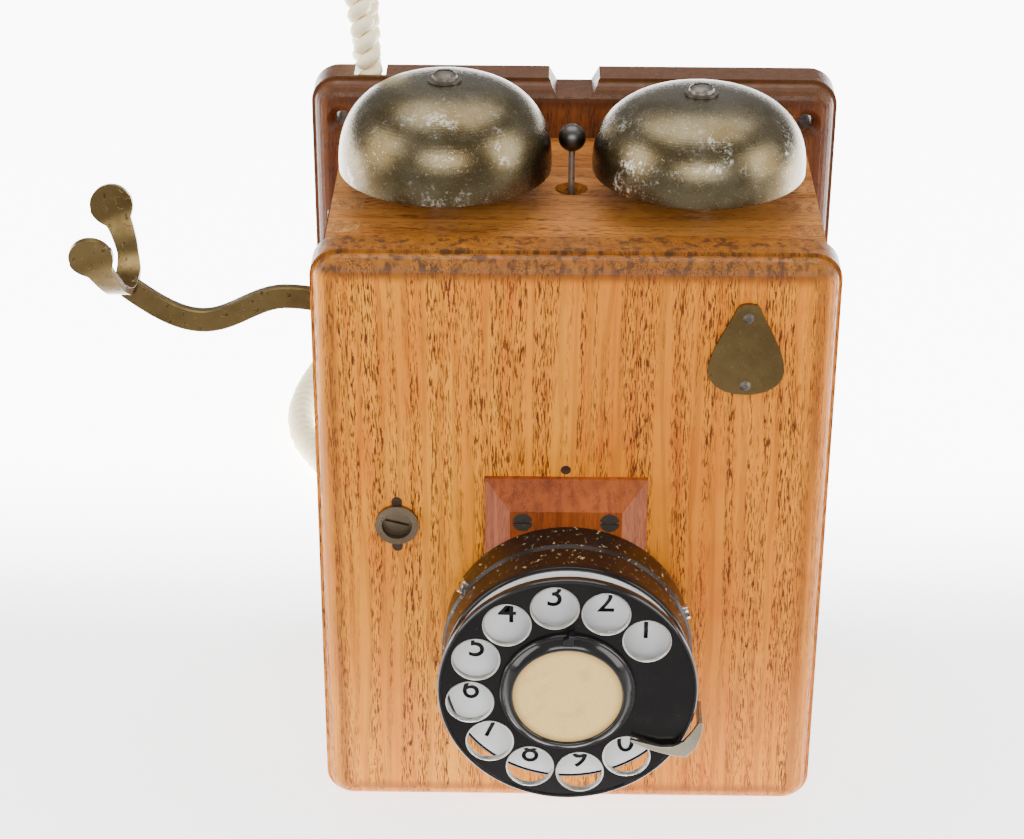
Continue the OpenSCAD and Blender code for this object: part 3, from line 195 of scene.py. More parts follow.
def make_wear():
    """Spots, rubbed patches and fine scratches of an old surface."""
    g, i, o = new_group("wear",
        [("Vector", "Vector", None), ("Spot size", "Float", 900.0), ("Amount", "Float", 0.3)],
        [("Spots", "Float"), ("Patches", "Float"), ("Scratches", "Float")])
    v = i["Vector"]
    n = noise(g, v, i["Spot size"], 4.0, 0.65)
    limit = maths(g, "SUBTRACT", 0.78, maths(g, "MULTIPLY", i["Amount"], 0.4))
    spots = maths(g, "MULTIPLY", maths(g, "SUBTRACT", n, limit), 14.0, clamp=True)
    patches = fade(g, noise(g, v, 45.0, 4.0, 0.6), 0.42, 0.68)
    s = put(g, "ShaderNodeTexWave", out=1, bands_direction="DIAGONAL",
            in_Vector=v, in_Scale=55.0, in_Distortion=26.0, in_Detail=3.0, in_Detail_Scale=3.0)
    lines = maths(g, "MULTIPLY", fade(g, s, 0.955, 0.995), fade(g, n, 0.5, 0.62))
    g.links.new(spots, o["Spots"])
    g.links.new(patches, o["Patches"])
    g.links.new(lines, o["Scratches"])
    return g


oak_grain = make_oak_grain()
panel_edge = make_panel_edge()
wear = make_wear()


def use(nt, group, **values):
    """Places a shared effect in a material and sets its inputs."""
    n = nt.nodes.new("ShaderNodeGroup")
    n.node_tree = group
    for key, value in values.items():
        link_in(nt, value, n.inputs[key.replace("_", " ")])
    return n.outputs


def start(name, **shader):
    """A material with its shader; keywords set the shader's own sockets."""
    m = bpy.data.materials.new(name)
    m.use_nodes = True
    nt = m.node_tree
    bsdf = nt.nodes["Principled BSDF"]
    for key, value in shader.items():
        link_in(nt, value, bsdf.inputs[key.replace("_", " ")])
    where = put(nt, "ShaderNodeTexCoord", out=3)
    return m, nt, bsdf, where


def bump(nt, bsdf, height, distance, strength=0.5):
    nt.links.new(put(nt, "ShaderNodeBump", in_Strength=strength, in_Distance=distance,
                     in_Height=height), bsdf.inputs["Normal"])


# ---------------------------------------------------------------- materials

def oak(name, light, mid, dark, along="Z", edge=None, pores=0.8, shift=(0, 0, 0), coat=0.06):
    """Waxed oak with its grain along one axis; edge gives a board's outer band, which gets painted
    shade: a darker band, a dark top strip and a dark groove line.
    """
    m, nt, bsdf, where = start(name, Coat_Weight=coat, Coat_Roughness=0.25, Specular_IOR_Level=0.2)
    turn = {"Z": (0, 0, 0), "X": (0, math.pi / 2, 0), "Y": (math.pi / 2, 0, 0)}[along]
    v = put(nt, "ShaderNodeMapping", in_Vector=where, in_Location=shift, in_Rotation=turn)
    g = use(nt, oak_grain, Vector=v, Light=light, Mid=mid, Dark=dark, Pores=pores)
    colour, height, rough = g["Color"], g["Height"], g["Roughness"]
    w = use(nt, wear, Vector=where, Spot_size=420.0, Amount=0.18)
    colour = blend_of(nt, maths(nt, "MULTIPLY", w["Patches"], 0.22), colour, mid, "MULTIPLY")
    if edge:
        e = use(nt, panel_edge, Vector=where, **edge)
        # The outer band is darkened unevenly: painted shade on the board's rounded edge.
        band_shade = fade(nt, noise(nt, where, 120.0, 3.0), 0.35, 0.7, 0.1, 0.45)
        colour = blend_of(nt, maths(nt, "MULTIPLY", e["Mask"], band_shade), colour,
                          [c * 0.55 for c in mid], "MIX")
        # A dark strip under the top edge: painted shade on the top bevel, broken up by noise.
        top_shade_breakup = fade(nt, noise(nt, stretched(nt, where, 420, 420, 60), 1.0, 2.0), 0.5, 0.66)
        top = maths(nt, "MULTIPLY", e["Top"], maths(nt, "MULTIPLY_ADD", top_shade_breakup, 0.3, 0.66))
        colour = blend_of(nt, top, colour, (0.075, 0.030, 0.010))
        # A dark line inset from the edge: painted shade of the moulding's groove.
        colour = blend_of(nt, maths(nt, "MULTIPLY", e["Line"], 0.5), colour,
                          [c * 1.6 for c in dark])
    colour = blend_of(nt, maths(nt, "MULTIPLY", w["Spots"], 0.5), colour, dark)
    nt.links.new(colour, bsdf.inputs["Base Color"])
    nt.links.new(rough, bsdf.inputs["Roughness"])
    bump(nt, bsdf, height, 0.0003, 0.6)
    return m


def metal(name, clean, aged, rough=0.3, amount=0.35, shine=1.0, size=700.0, relief=0.0001):
    """Plated or bare metal with tarnished patches, pits and fine scratches."""
    m, nt, bsdf, where = start(name, Metallic=shine)
    w = use(nt, wear, Vector=where, Spot_size=size, Amount=amount)
    colour = blend_of(nt, maths(nt, "MULTIPLY", w["Patches"], amount + 0.25), clean, aged)
    colour = blend_of(nt, maths(nt, "MULTIPLY", w["Spots"], 0.75), colour, [c * 0.4 for c in aged])
    colour = blend_of(nt, maths(nt, "MULTIPLY", w["Scratches"], 0.5), colour,
                      [min(1, c * 1.2) for c in clean])
    nt.links.new(colour, bsdf.inputs["Base Color"])
    r = maths(nt, "MULTIPLY_ADD", w["Patches"], 0.18, rough)
    nt.links.new(maths(nt, "MULTIPLY_ADD", w["Spots"], 0.25, r), bsdf.inputs["Roughness"])
    bump(nt, bsdf, maths(nt, "SUBTRACT", w["Scratches"], w["Spots"]), relief, 0.5)
    return m


def enamel(name, base, chip, rough=0.12, amount=0.2, coat=0.6, chips=0.9, size=520.0, spec=0.5):
    """Glossy enamel or moulded material with chips and dull rubbed patches."""
    m, nt, bsdf, where = start(name, Coat_Weight=coat, Coat_Roughness=0.08, Specular_IOR_Level=spec)
    w = use(nt, wear, Vector=where, Spot_size=size, Amount=amount)
    haze = noise(nt, where, 90.0, 5.0, 0.6)
    colour = blend_of(nt, fade(nt, haze, 0.4, 0.75, 0.0, 0.35), base,
                      [min(1, c * 1.7 + 0.004) for c in base])
    colour = blend_of(nt, maths(nt, "MULTIPLY", w["Spots"], chips), colour, chip)
    nt.links.new(colour, bsdf.inputs["Base Color"])
    r = maths(nt, "MULTIPLY_ADD", w["Patches"], 0.12, rough)
    nt.links.new(maths(nt, "MULTIPLY_ADD", w["Spots"], 0.35, r), bsdf.inputs["Roughness"])
    bump(nt, bsdf, maths(nt, "MULTIPLY_ADD", w["Spots"], -1.0, haze), 0.00012, 0.4)
    return m


def gong_metal(name, centre):
    """Old brass gong, olive brown, with silvery rubbed specks towards its rim."""
    m, nt, bsdf, where = start(name, Metallic=1.0)
    off = put(nt, "ShaderNodeVectorMath", operation="SUBTRACT", in_0=where, in_1=centre)
    flat = stretched(nt, off, 1, 1, 0)
    r = put(nt, "ShaderNodeVectorMath", out=1, operation="LENGTH", in_0=flat)
    w = use(nt, wear, Vector=where, Spot_size=1500.0, Amount=0.35)
    grit = noise(nt, where, 2600.0, 3.0, 0.7)
    tone = noise(nt, where, 75.0, 4.0, 0.6)
    colour = blend_of(nt, fade(nt, tone, 0.36, 0.66), (0.098, 0.070, 0.032), (0.150, 0.122, 0.070))
    colour = blend_of(nt, fade(nt, r, 0.008, 0.020, 0.45, 0.0), colour, (0.16, 0.145, 0.11))
    ragged = noise(nt, where, 62.0, 6.0, 0.75)
    place = maths(nt, "MULTIPLY", fade(nt, r, 0.016, 0.030), fade(nt, ragged, 0.54, 0.68))
    specks = maths(nt, "MULTIPLY", place, fade(nt, noise(nt, where, 900.0, 4.0, 0.7), 0.46, 0.56))
    colour = blend_of(nt, specks, colour, (0.78, 0.74, 0.66))
    colour = blend_of(nt, maths(nt, "MULTIPLY", w["Spots"], 0.6), colour, (0.07, 0.05, 0.025))
    colour = blend_of(nt, maths(nt, "MULTIPLY", w["Scratches"], 0.5), colour, (0.5, 0.44, 0.3))
    nt.links.new(colour, bsdf.inputs["Base Color"])
    rough = maths(nt, "MULTIPLY_ADD", tone, 0.16, maths(nt, "MULTIPLY_ADD", grit, 0.10, 0.13))
    nt.links.new(maths(nt, "MULTIPLY_ADD", specks, 0.2, rough), bsdf.inputs["Roughness"])
    lines = maths(nt, "SINE", maths(nt, "MULTIPLY", r, 9000.0))
    bump(nt, bsdf, maths(nt, "MULTIPLY_ADD", lines, 0.08, grit), 0.00010, 0.45)
    return m


def paper_card(name):
    """Aged card with faint fibres, darker in a band round its rim."""
    m, nt, bsdf, where = start(name, Roughness=0.75)
    fibre = noise(nt, stretched(nt, where, 900, 900, 2600), 1.0, 4.0, 0.7)
    stain = noise(nt, where, 130.0, 4.0, 0.6)
    off = put(nt, "ShaderNodeVectorMath", operation="SUBTRACT", in_0=where,
              in_1=(-0.001, 0, 0.0705))
    r = put(nt, "ShaderNodeVectorMath", out=1, operation="LENGTH", in_0=stretched(nt, off, 1, 0, 1))
    colour = blend_of(nt, fade(nt, fibre, 0.35, 0.7), (0.98, 0.64, 0.20), (1.0, 0.72, 0.27))
    colour = blend_of(nt, fade(nt, stain, 0.5, 0.8, 0, 0.5), colour, (0.60, 0.38, 0.17))
    colour = blend_of(nt, fade(nt, r, 0.0135, 0.0165, 0, 0.7), colour, (0.45, 0.26, 0.10))
    nt.links.new(colour, bsdf.inputs["Base Color"])
    bump(nt, bsdf, fibre, 0.00005, 0.5)
    return m


def cord_rubber(name):
    """Cream cord sheath with spots of hand dirt."""
    m, nt, bsdf, where = start(name, Coat_Weight=0.1, Coat_Roughness=0.3,
                               Subsurface_Weight=0.08, Subsurface_Scale=0.002)
    w = use(nt, wear, Vector=where, Spot_size=500.0, Amount=0.2)
    tone = noise(nt, where, 60.0, 4.0, 0.6)
    colour = blend_of(nt, fade(nt, tone, 0.35, 0.7), (0.95, 0.86, 0.60), (0.90, 0.77, 0.48))
    colour = blend_of(nt, maths(nt, "MULTIPLY", w["Spots"], 0.4), colour, (0.38, 0.26, 0.12))
    nt.links.new(colour, bsdf.inputs["Base Color"])
    nt.links.new(maths(nt, "MULTIPLY_ADD", tone, 0.2, 0.35), bsdf.inputs["Roughness"])
    bump(nt, bsdf, noise(nt, where, 1800.0, 2.0), 0.00004, 0.4)
    return m


def wound_wire(name):
    """Varnished silk-covered winding: fine turns round an upright or level core."""
    m, nt, bsdf, where = start(name, Coat_Weight=0.3, Coat_Roughness=0.3)
    turns = put(nt, "ShaderNodeTexWave", out=1, bands_direction="DIAGONAL", in_Vector=where,
                in_Scale=800.0, in_Distortion=0.4)
    tone = noise(nt, where, 120.0, 3.0)
    colour = blend_of(nt, fade(nt, tone, 0.3, 0.7), (0.36, 0.07, 0.035), (0.22, 0.05, 0.02))
    colour = blend_of(nt, maths(nt, "MULTIPLY", turns, 0.4), colour, (0.5, 0.16, 0.08))
    nt.links.new(colour, bsdf.inputs["Base Color"])
    nt.links.new(maths(nt, "MULTIPLY_ADD", tone, 0.2, 0.4), bsdf.inputs["Roughness"])
    bump(nt, bsdf, turns, 0.0002, 0.5)
    return m


LIGHT, MID, DARK = (0.90, 0.340, 0.016), (0.76, 0.245, 0.011), (0.12, 0.028, 0.005)
door_edge = dict(Centre_X=0.0, Centre_Z=0.0955, Half_width=0.076, Half_height=0.0945, Band=0.0072)
back_edge = dict(Centre_X=0.0, Centre_Z=0.1026, Half_width=0.083, Half_height=0.1026, Band=0.0078)
finishes = {
    "door": oak("door_oak", LIGHT, MID, DARK, "Z", door_edge, 1.0),
    "back": oak("back_oak", (0.20, 0.062, 0.016), (0.125, 0.034, 0.009), (0.035, 0.009, 0.003),
                "Z", back_edge, 0.7, (0.3, 0.1, 0.2)),
    # The top and bottom boards share oak tones darker than the door's: painted shade on the top
    # board's upward face.
    "top": oak("top_oak", (0.60, 0.24, 0.050), (0.42, 0.145, 0.026), (0.10, 0.03, 0.006), "X",
               None, 0.8, (0.1, 0.4, 0.0)),
    "side": oak("side_oak", (0.62, 0.28, 0.075), (0.44, 0.17, 0.04), (0.11, 0.035, 0.009), "Z",
                None, 0.8, (0.5, 0.2, 0.1)),
    "block": oak("stained_block", (0.36, 0.085, 0.014), (0.22, 0.040, 0.008),
                 (0.05, 0.010, 0.004), "Z", None, 0.4, (0.7, 0.7, 0.0), 0.04),
    "plug": oak("plug_wood", (0.085, 0.045, 0.025), (0.055, 0.028, 0.016),
                (0.02, 0.01, 0.006), "X", None, 0.5, (0.2, 0.9, 0.4), 0.1),
    "fittings": oak("varnished_board", (0.24, 0.09, 0.03), (0.16, 0.05, 0.018),
                    (0.05, 0.015, 0.006), "X", None, 0.5, (0.9, 0.2, 0.0), 0.5),
    "steel": metal("steel", (0.42, 0.41, 0.39), (0.20, 0.17, 0.14), 0.36, 0.35),
    "dark_screw": metal("dark_screw", (0.16, 0.14, 0.12), (0.07, 0.05, 0.04), 0.4, 0.4),
    "spring": metal("spring_metal", (0.66, 0.63, 0.55), (0.45, 0.38, 0.26), 0.25, 0.2),
    "brass": metal("brass", (0.62, 0.45, 0.19), (0.34, 0.21, 0.08), 0.3, 0.3),
    "hook_brass": metal("hook_brass", (0.165, 0.112, 0.044), (0.080, 0.050, 0.019), 0.3, 0.45,
                        size=420.0, relief=0.0001),
    "cover_brass": metal("cover_brass", (0.165, 0.112, 0.045), (0.085, 0.052, 0.020), 0.38, 0.4,
                         size=800.0),
    "iron": metal("dark_iron", (0.085, 0.072, 0.060), (0.045, 0.034, 0.026), 0.5, 0.45),
    "ball_steel": metal("ball_steel", (0.105, 0.10, 0.095), (0.06, 0.052, 0.045), 0.32, 0.35),
    "lock_nickel": metal("lock_nickel", (0.20, 0.155, 0.105), (0.10, 0.068, 0.040), 0.34, 0.35),
    "dull_nickel": metal("dull_nickel", (0.46, 0.41, 0.32), (0.24, 0.19, 0.12), 0.28, 0.35),
    "nickel": metal("nickel", (0.66, 0.64, 0.60), (0.33, 0.29, 0.23), 0.22, 0.3),
    "cup": enamel("cup_enamel", (0.013, 0.006, 0.0028), (0.50, 0.36, 0.2), 0.3, 0.42, 0.05, 0.9,
                  620.0, 0.2),
    "wheel": enamel("wheel_enamel", (0.006, 0.005, 0.005), (0.30, 0.26, 0.2), 0.16, 0.16, 0.0, 0.6,
                    900.0, 0.22),
    "gloss_black": enamel("gloss_black", (0.007, 0.006, 0.006), (0.25, 0.20, 0.15), 0.12, 0.10,
                          0.15, 0.5, 700.0, 0.4),
    "bakelite": enamel("bakelite", (0.012, 0.009, 0.007), (0.09, 0.06, 0.04), 0.16, 0.12, 0.5, 0.4),
    "plate": enamel("white_enamel", (0.84, 0.86, 0.86), (0.25, 0.22, 0.18), 0.14, 0.06, 0.5, 0.5,
                    900.0),
    "card": paper_card("card_paper"),
    "cord": cord_rubber("cord_cream"),
    "winding": wound_wire("winding"),
    "gong_left": gong_metal("gong_left_metal", (-0.03865, -0.056, 0.0)),
    "gong_right": gong_metal("gong_right_metal", (0.03665, -0.056, 0.0)),
}

dressed = {
    "door": ["door_panel"],
    "back": ["backboard"],
    "top": ["case_top_board", "case_bottom_board"],
    "side": ["case_left_board", "case_right_board"],
    "block": ["dial_block"],
    "plug": ["wood_plugs"],
    "fittings": ["terminal_block", "induction_coil"],
    "steel": ["hinge_pins", "lock_keeper", "small_screws", "hook_pivot_pin", "gong_posts",
              "ringer_frame", "armature", "clapper_rod", "condenser", "main_shaft"],
    "dark_screw": ["door_screws", "case_screws", "cover_nails", "gong_screws"],
    "spring": ["hook_return_spring", "hook_contact_springs", "main_spring", "pulse_contacts"],
    "brass": ["case_hinge_leaves", "door_hinge_leaves", "hook_bracket", "dial_rear_plate",
              "impulse_wheel", "governor"],
    "ball_steel": ["clapper_ball"],
    "hook_brass": ["hook_lever"],
    "cover_brass": ["cover_plate"],
    "iron": ["hook_escutcheon", "ringer_magnet"],
    "nickel": ["cup_screws", "dial_frame", "receiver_capsule", "transmitter_capsule"],
    "dull_nickel": ["finger_stop"],
    "lock_nickel": ["lock_bush", "lock_spindle"],
    "cup": ["dial_cup"],
    "wheel": ["finger_wheel"],
    "gloss_black": ["card_retainer"],
    "bakelite": ["handset_handle", "ear_cap", "mouth_cap", "handset_bush", "cord_bush"],
    "plate": ["number_plate"],
    "card": ["number_card"],
    "cord": ["handset_cord"],
    "winding": ["ringer_coils"],
    "gong_left": ["gong_left"],
    "gong_right": ["gong_right"],
}


def dress():
    """Gives every piece of the frame its finish."""
    for finish, names in dressed.items():
        for name in names:
            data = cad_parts[name].data
            data.materials.clear()
            data.materials.append(finishes[finish])


dress()

# ---------------------------------------------------------------- mesh helpers

def piece(name, verts, faces, finish, body, slot, smooth=40, bevel=0.0):
    """A mesh in millimetres that rides on a body."""
    me = bpy.data.meshes.new(name)
    me.from_pydata([Vector(v) * MM for v in verts], [], faces)
    me.validate()
    me.materials.append(finishes[finish])
    for p in me.polygons:
        p.use_smooth = True
    me.set_sharp_from_angle(angle=math.radians(smooth))
    o = bpy.data.objects.new(name, me)
    bpy.context.collection.objects.link(o)
    if bevel:
        b = o.modifiers.new("soft_edges", "BEVEL")
        b.width, b.segments, b.limit_method = bevel * MM, 3, "ANGLE"
        b.angle_limit = math.radians(40)
        b.harden_normals = True
    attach(o, body)
    return o


def lathe(profile, segments=64, closed=False):
    """Turns a profile of (radius, height) round Z; a radius of 0 closes it."""
    verts, faces, rows = [], [], []
    for r, h in profile:
        if r == 0:
            rows.append([len(verts)] * segments)
            verts.append((0, 0, h))
        else:
            rows.append(list(range(len(verts), len(verts) + segments)))
            verts += [(r * math.cos(2 * math.pi * k / segments),
                       r * math.sin(2 * math.pi * k / segments), h) for k in range(segments)]
    pairs = list(zip(rows, rows[1:])) + ([(rows[-1], rows[0])] if closed else [])
    for a, b in pairs:
        for k in range(segments):
            n = (k + 1) % segments
            f = [a[k], a[n], b[n], b[k]]
            f = [x for j, x in enumerate(f) if x not in f[:j]]
            if len(f) > 2:
                faces.append(f)
    return verts, faces


def placed(verts, matrix):
    return [matrix @ Vector(v) for v in verts]


FACE_FRONT = Matrix.Rotation(math.radians(90), 4, "X")     # +Z of a piece points to the front

# ---------------------------------------------------------------- cord

# the cord's route: x, y, z and the outer radius of its coil, in millimetres
ROUTE = [
    (-64.5, 3.2, 180, 2.3), (-64.5, 3.2, 188, 2.3), (-64.5, 3.2, 196, 4.2),
    (-65, 3.2, 208, 4.2), (-67, 6, 218, 4.2), (-69, 11, 228, 4.2),
    (-70, 19, 238, 4.2), (-70, 30, 244, 4.3), (-70, 42, 243, 4.4),
    (-70, 52, 235, 4.6), (-70, 58, 221, 4.8), (-70, 61, 204, 5),
    (-70, 62, 185, 5), (-70, 62, 165, 5), (-70, 62, 145, 5),
    (-70, 62, 125, 5), (-70, 62, 105, 5), (-70, 62, 85, 5),
    (-70, 63, 65, 5.2), (-70, 64, 46, 5.4), (-71, 67, 29, 5.5),
    (-74, 73, 15, 5.5), (-80, 83, 7, 5.5), (-88, 96, 5.6, 5.5),
    (-96, 110, 5.6, 5.5), (-103, 126, 5.6, 5.5), (-106, 144, 5.6, 5.5),
    (-105, 164, 5.6, 5.5), (-101, 184, 5.6, 5.5), (-95, 204, 5.6, 5.5),
    (-86, 223, 5.6, 5.5), (-73, 239, 5.6, 5.5), (-58, 250, 6, 5.5),
    (-44, 254, 9, 5.4), (-34, 251, 14, 4.6), (-27.6, 240, 21, 2.3),
    (-25.35, 234.9, 22, 2.3)]
STRAND = 4.6          # thickness of the strand
COIL_PITCH = 5.03     # from one turn to the next


def spline(a, b, c, d, t):
    return 0.5 * (2 * b + (c - a) * t + (2 * a - 5 * b + 4 * c - d) * t * t
                  + (3 * b - a - 3 * c + d) * t ** 3)


def curly_line():
    """Centre line of the strand: a helix round the route, straight at both ends."""
    pts = [Vector(p[:3]) for p in ROUTE]
    n = len(pts) - 1
    line = []
    for i in range(n):
        a, b, c, d = pts[max(i - 1, 0)], pts[i], pts[i + 1], pts[min(i + 2, n)]
        steps = 60
        for k in range(steps + (i == n - 1)):
            t = k / steps
            line.append((spline(a, b, c, d, t), ROUTE[i][3] * (1 - t) + ROUTE[i + 1][3] * t))
    side = Vector((1, 0, 0))
    phase, travelled, out = 0.0, 0.0, []
    for k, (p, radius) in enumerate(line):
        tangent = (line[min(k + 1, len(line) - 1)][0] - line[max(k - 1, 0)][0]).normalized()
        side = (side - tangent * side.dot(tangent)).normalized()
        other = tangent.cross(side)
        coil = max(0.0, radius - STRAND / 2)
        step = (p - line[max(k - 1, 0)][0]).length
        phase += 2 * math.pi * step / COIL_PITCH
        travelled += step
        if travelled >= COIL_PITCH / 16 or coil < 0.05 or k == len(line) - 1:
            travelled = 0.0
            out.append(p + (side * math.cos(phase) + other * math.sin(phase)) * coil)
    return out


def curve_through(name, points, radius, finish, body, sides=4):
    data = bpy.data.curves.new(name, "CURVE")
    data.dimensions = "3D"
    data.bevel_depth, data.bevel_resolution = radius * MM, sides
    data.use_fill_caps = True
    s = data.splines.new("POLY")
    s.points.add(len(points) - 1)
    for q, p in zip(s.points, points):
        q.co = (*(Vector(p) * MM), 1)
    s.use_smooth = True
    data.materials.append(finishes[finish])
    o = bpy.data.objects.new(name, data)
    bpy.context.collection.objects.link(o)
    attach(o, body)
    return o


strand = curly_line()
curly_cord = curve_through("curly_cord", strand, STRAND / 2, "cord", "root", 3)
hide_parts("handset_cord")

# ---------------------------------------------------------------- gongs

GONG_R, GONG_WALL, GONG_Y, GONG_RIM_Z = 31.75, 1.4, -56, 197


def gong_profile(radius, height, wall, n=22, power=2.6):
    """Domed shell from its inner crown, round the lip, to its outer crown."""
    outer = []
    for k in range(n + 1):
        a = math.radians(90 * k / n)
        outer.append((radius * math.cos(a) ** (2 / power) if k < n else 0.0,
                      height * math.sin(a) ** (2 / power)))
    inner = [(r * (radius - wall) / radius, h * (height - wall) / height) for r, h in outer]
    lip = [(radius - wall, 0.25), (radius - wall * 0.5, 0.0), (radius - 0.1, 0.15)]
    return inner[::-1][:-1] + lip + outer[1:]


def make_gong(node, x, height):
    verts, faces = lathe(gong_profile(GONG_R, height, GONG_WALL), 96)
    verts = placed(verts, Matrix.Translation((x, GONG_Y, GONG_RIM_Z)))
    gong = piece(node + "_shell", verts, faces, node, "root", "bell_nickel", 60)
    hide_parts(node)


make_gong("gong_left", -38.65, 27.0)
make_gong("gong_right", 36.65, 23.5)

# ---------------------------------------------------------------- hook lever

HOOK_Y = -91 + 0.333 * 83
HOOK_Z = 155.0
CASE_SIDE, BAR_CREST, BAR_TROUGH, BAR_END = -72.5, -87.0, -112.5, -135.0
BAR_HALF_HEIGHT, BAR_HALF_THICK, BAR_STEPS = 3.5, 1.6, 56
FORK_THICK, PAD_R = 2.1, 6.1


def bar_rise(x):
    """Height of the bar's middle over the pivot: a low crest, a dip, then up to the fork."""
    if x > BAR_CREST:
        return 2 * math.sin(math.pi / 2 * (x - CASE_SIDE) / (BAR_CREST - CASE_SIDE))
    if x > BAR_TROUGH:
        return ((2 - 6.2) / 2 + (2 + 6.2) / 2
                * math.cos(math.pi * (BAR_CREST - x) / (BAR_CREST - BAR_TROUGH)))
    return -6.2 + 11.2 * (1 - math.cos(math.pi / 2 * (BAR_TROUGH - x) / (BAR_TROUGH - BAR_END)))


def slab(outline, y0, y1):
    """An outline of (x, z) points given a thickness along Y."""
    n = len(outline)
    verts = [(x, y0, z) for x, z in outline] + [(x, y1, z) for x, z in outline]
    faces = [list(range(n)), list(range(2 * n - 1, n - 1, -1))]
    faces += [[k, k + n, (k + 1) % n + n, (k + 1) % n] for k in range(n)]
    return verts, faces


def ribbon(path, widths, thick):
    """A flat strip along a path; its width lies as near to X as the path lets it."""
    verts, faces = [], []
    for k, (p, w) in enumerate(zip(path, widths)):
        t = (path[min(k + 1, len(path) - 1)] - path[max(k - 1, 0)]).normalized()
        side = (Vector((1, 0, 0)) - t * t.x).normalized()
        face = t.cross(side).normalized()
        for a, b in ((-1, -1), (1, -1), (1, 1), (-1, 1)):
            verts.append(p + side * (a * w / 2) + face * (b * thick / 2))
    n = len(path) - 1
    for k in range(n):
        a, b = 4 * k, 4 * k + 4
        faces += [[a + j, a + (j + 1) % 4, b + (j + 1) % 4, b + j] for j in range(4)]
    faces += [[3, 2, 1, 0], [4 * n, 4 * n + 1, 4 * n + 2, 4 * n + 3]]
    return verts, faces


def fork_path():
    """Middle line and width of the fork: a pad, a neck, the bent floor, a neck and a pad."""
    nodes = [(-135.4, 0, 161.0), (-135.4, 4.6, 161.1), (-135.7, 9.4, 162.6), (-136.6, 13.8, 165.8),
             (-138.2, 17.0, 170.2), (-140.1, 18.9, 174.6), (-141.7, 19.6, 178.4)]
    pts = [Vector(p) for p in nodes]
    line = []
    for i in range(len(pts) - 1):
        a, b, c, d = pts[max(i - 1, 0)], pts[i], pts[i + 1], pts[min(i + 2, len(pts) - 1)]
        line += [spline(a, b, c, d, k / 6) for k in range(6)]
    line.append(pts[-1])
    end = (pts[-1] - pts[-2]).normalized()
    half = []
    for p in line:
        d = (p - pts[-1]).length
        neck = 8.6 - 2.2 * min(1.0, d / 16) if d < 16 else 6.4 + 0.9 * min(1.0, (d - 16) / 6)
        round_part = 2 * math.sqrt(max(0.0, PAD_R * PAD_R - d * d))
        half.append((p, (neck ** 3 + round_part ** 3) ** (1 / 3) if round_part else neck))
    for k in range(1, 13):
        a = math.pi / 2 * k / 12.4
        half.append((pts[-1] + end * PAD_R * math.sin(a), 2.12 * PAD_R * math.cos(a)))
    front = [(Vector((p.x, -p.y, p.z)), w) for p, w in half[:0:-1]]
    both = front + half
    return [p + Vector((0, HOOK_Y, 0)) for p, w in both], [w for p, w in both]


def make_hook():
    xs = [CASE_SIDE + (BAR_END - CASE_SIDE) * k / BAR_STEPS for k in range(BAR_STEPS + 1)]
    rise = [(x, HOOK_Z + bar_rise(x)) for x in xs]
    up, down = [], []
    for k, (x, z) in enumerate(rise):
        a, b = rise[max(k - 1, 0)], rise[min(k + 1, BAR_STEPS)]
        d = Vector((b[0] - a[0], b[1] - a[1])).normalized() * BAR_HALF_HEIGHT
        up.append((x + d.y, z - d.x))
        down.append((x - d.y, z + d.x))
    tail = [(-53.5, 151.5), (-53.5, 138), (-52.5, 137), (-47.5, 137),
            (-46.5, 138), (-45, 151.5), (-45, 157.5), (-46, 158.5)]
    verts, faces = slab(up + down[::-1] + tail, HOOK_Y - BAR_HALF_THICK, HOOK_Y + BAR_HALF_THICK)
    bar = piece("hook_bar", verts, faces, "hook_brass", "hook", "brass", 40, 0.5)
    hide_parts("hook_lever")
    path, widths = fork_path()
    verts, faces = ribbon(path, widths, FORK_THICK)
    piece("hook_fork", verts, faces, "hook_brass", "hook", "brass", 50, 0.45)


make_hook()

# ---------------------------------------------------------------- dial details

DIAL = Vector((-1, 0, 70.5))
WHEEL_FRONT, WHEEL_BACK, PLATE_FRONT = -146.2, -144.4, -137.6
RING_R, FIRST_HOLE, HOLE_STEP = 28.6, 38, 30     # finger holes: radius, first angle, spacing
DIGIT_DROP = 1.1                                 # digits sit a little low in their holes


def around(radius, degrees):
    a = math.radians(degrees)
    return DIAL + Vector((radius * math.cos(a), 0, radius * math.sin(a)))


def make_finger_rims():
    """Bright rolled rims set in the ten finger holes."""
    profile = [(6.62, -1.5), (6.62, -0.1), (6.72, 0.22), (6.92, 0.34), (7.1, 0.26), (7.16, 0.04),
               (7.1, -0.05), (6.9, -0.1), (6.88, -1.5)]
    verts, faces = [], []
    v, f = lathe(profile, 40, True)
    for k in range(10):
        at = around(RING_R, FIRST_HOLE + HOLE_STEP * k)
        m = Matrix.Translation((at.x, WHEEL_FRONT, at.z)) @ FACE_FRONT
        base = len(verts)
        verts += placed(v, m)
        faces += [[base + j for j in face] for face in f]
    piece("finger_rims", verts, faces, "nickel", "finger_wheel", "nickel", 50)


def ring_piece(name, profile, y, finish, body, slot, segments=96):
    v, f = lathe(profile, segments, True)
    v = placed(v, Matrix.Translation((DIAL.x, y, DIAL.z)) @ FACE_FRONT)
    return piece(name, v, f, finish, body, slot, 50)


def make_digits():
    """Plain digits 1 to 0 on the plate, one under each finger hole."""
    for k in range(10):
        data = bpy.data.curves.new("digit_%d" % ((k + 1) % 10), "FONT")
        data.body = str((k + 1) % 10)
        data.size = 11.2 * MM
        data.align_x, data.align_y = "CENTER", "CENTER"
        data.extrude = 0.04 * MM
        data.offset = 0.04 * MM
        data.materials.append(finishes["wheel"])
        o = bpy.data.objects.new("digit_%d" % ((k + 1) % 10), data)
        at = around(RING_R, FIRST_HOLE + HOLE_STEP * k)
        spot = Vector((at.x, PLATE_FRONT - 0.06, at.z - DIGIT_DROP)) * MM
        o.matrix_world = Matrix.Translation(spot) @ FACE_FRONT
        bpy.context.collection.objects.link(o)
        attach(o, "door")


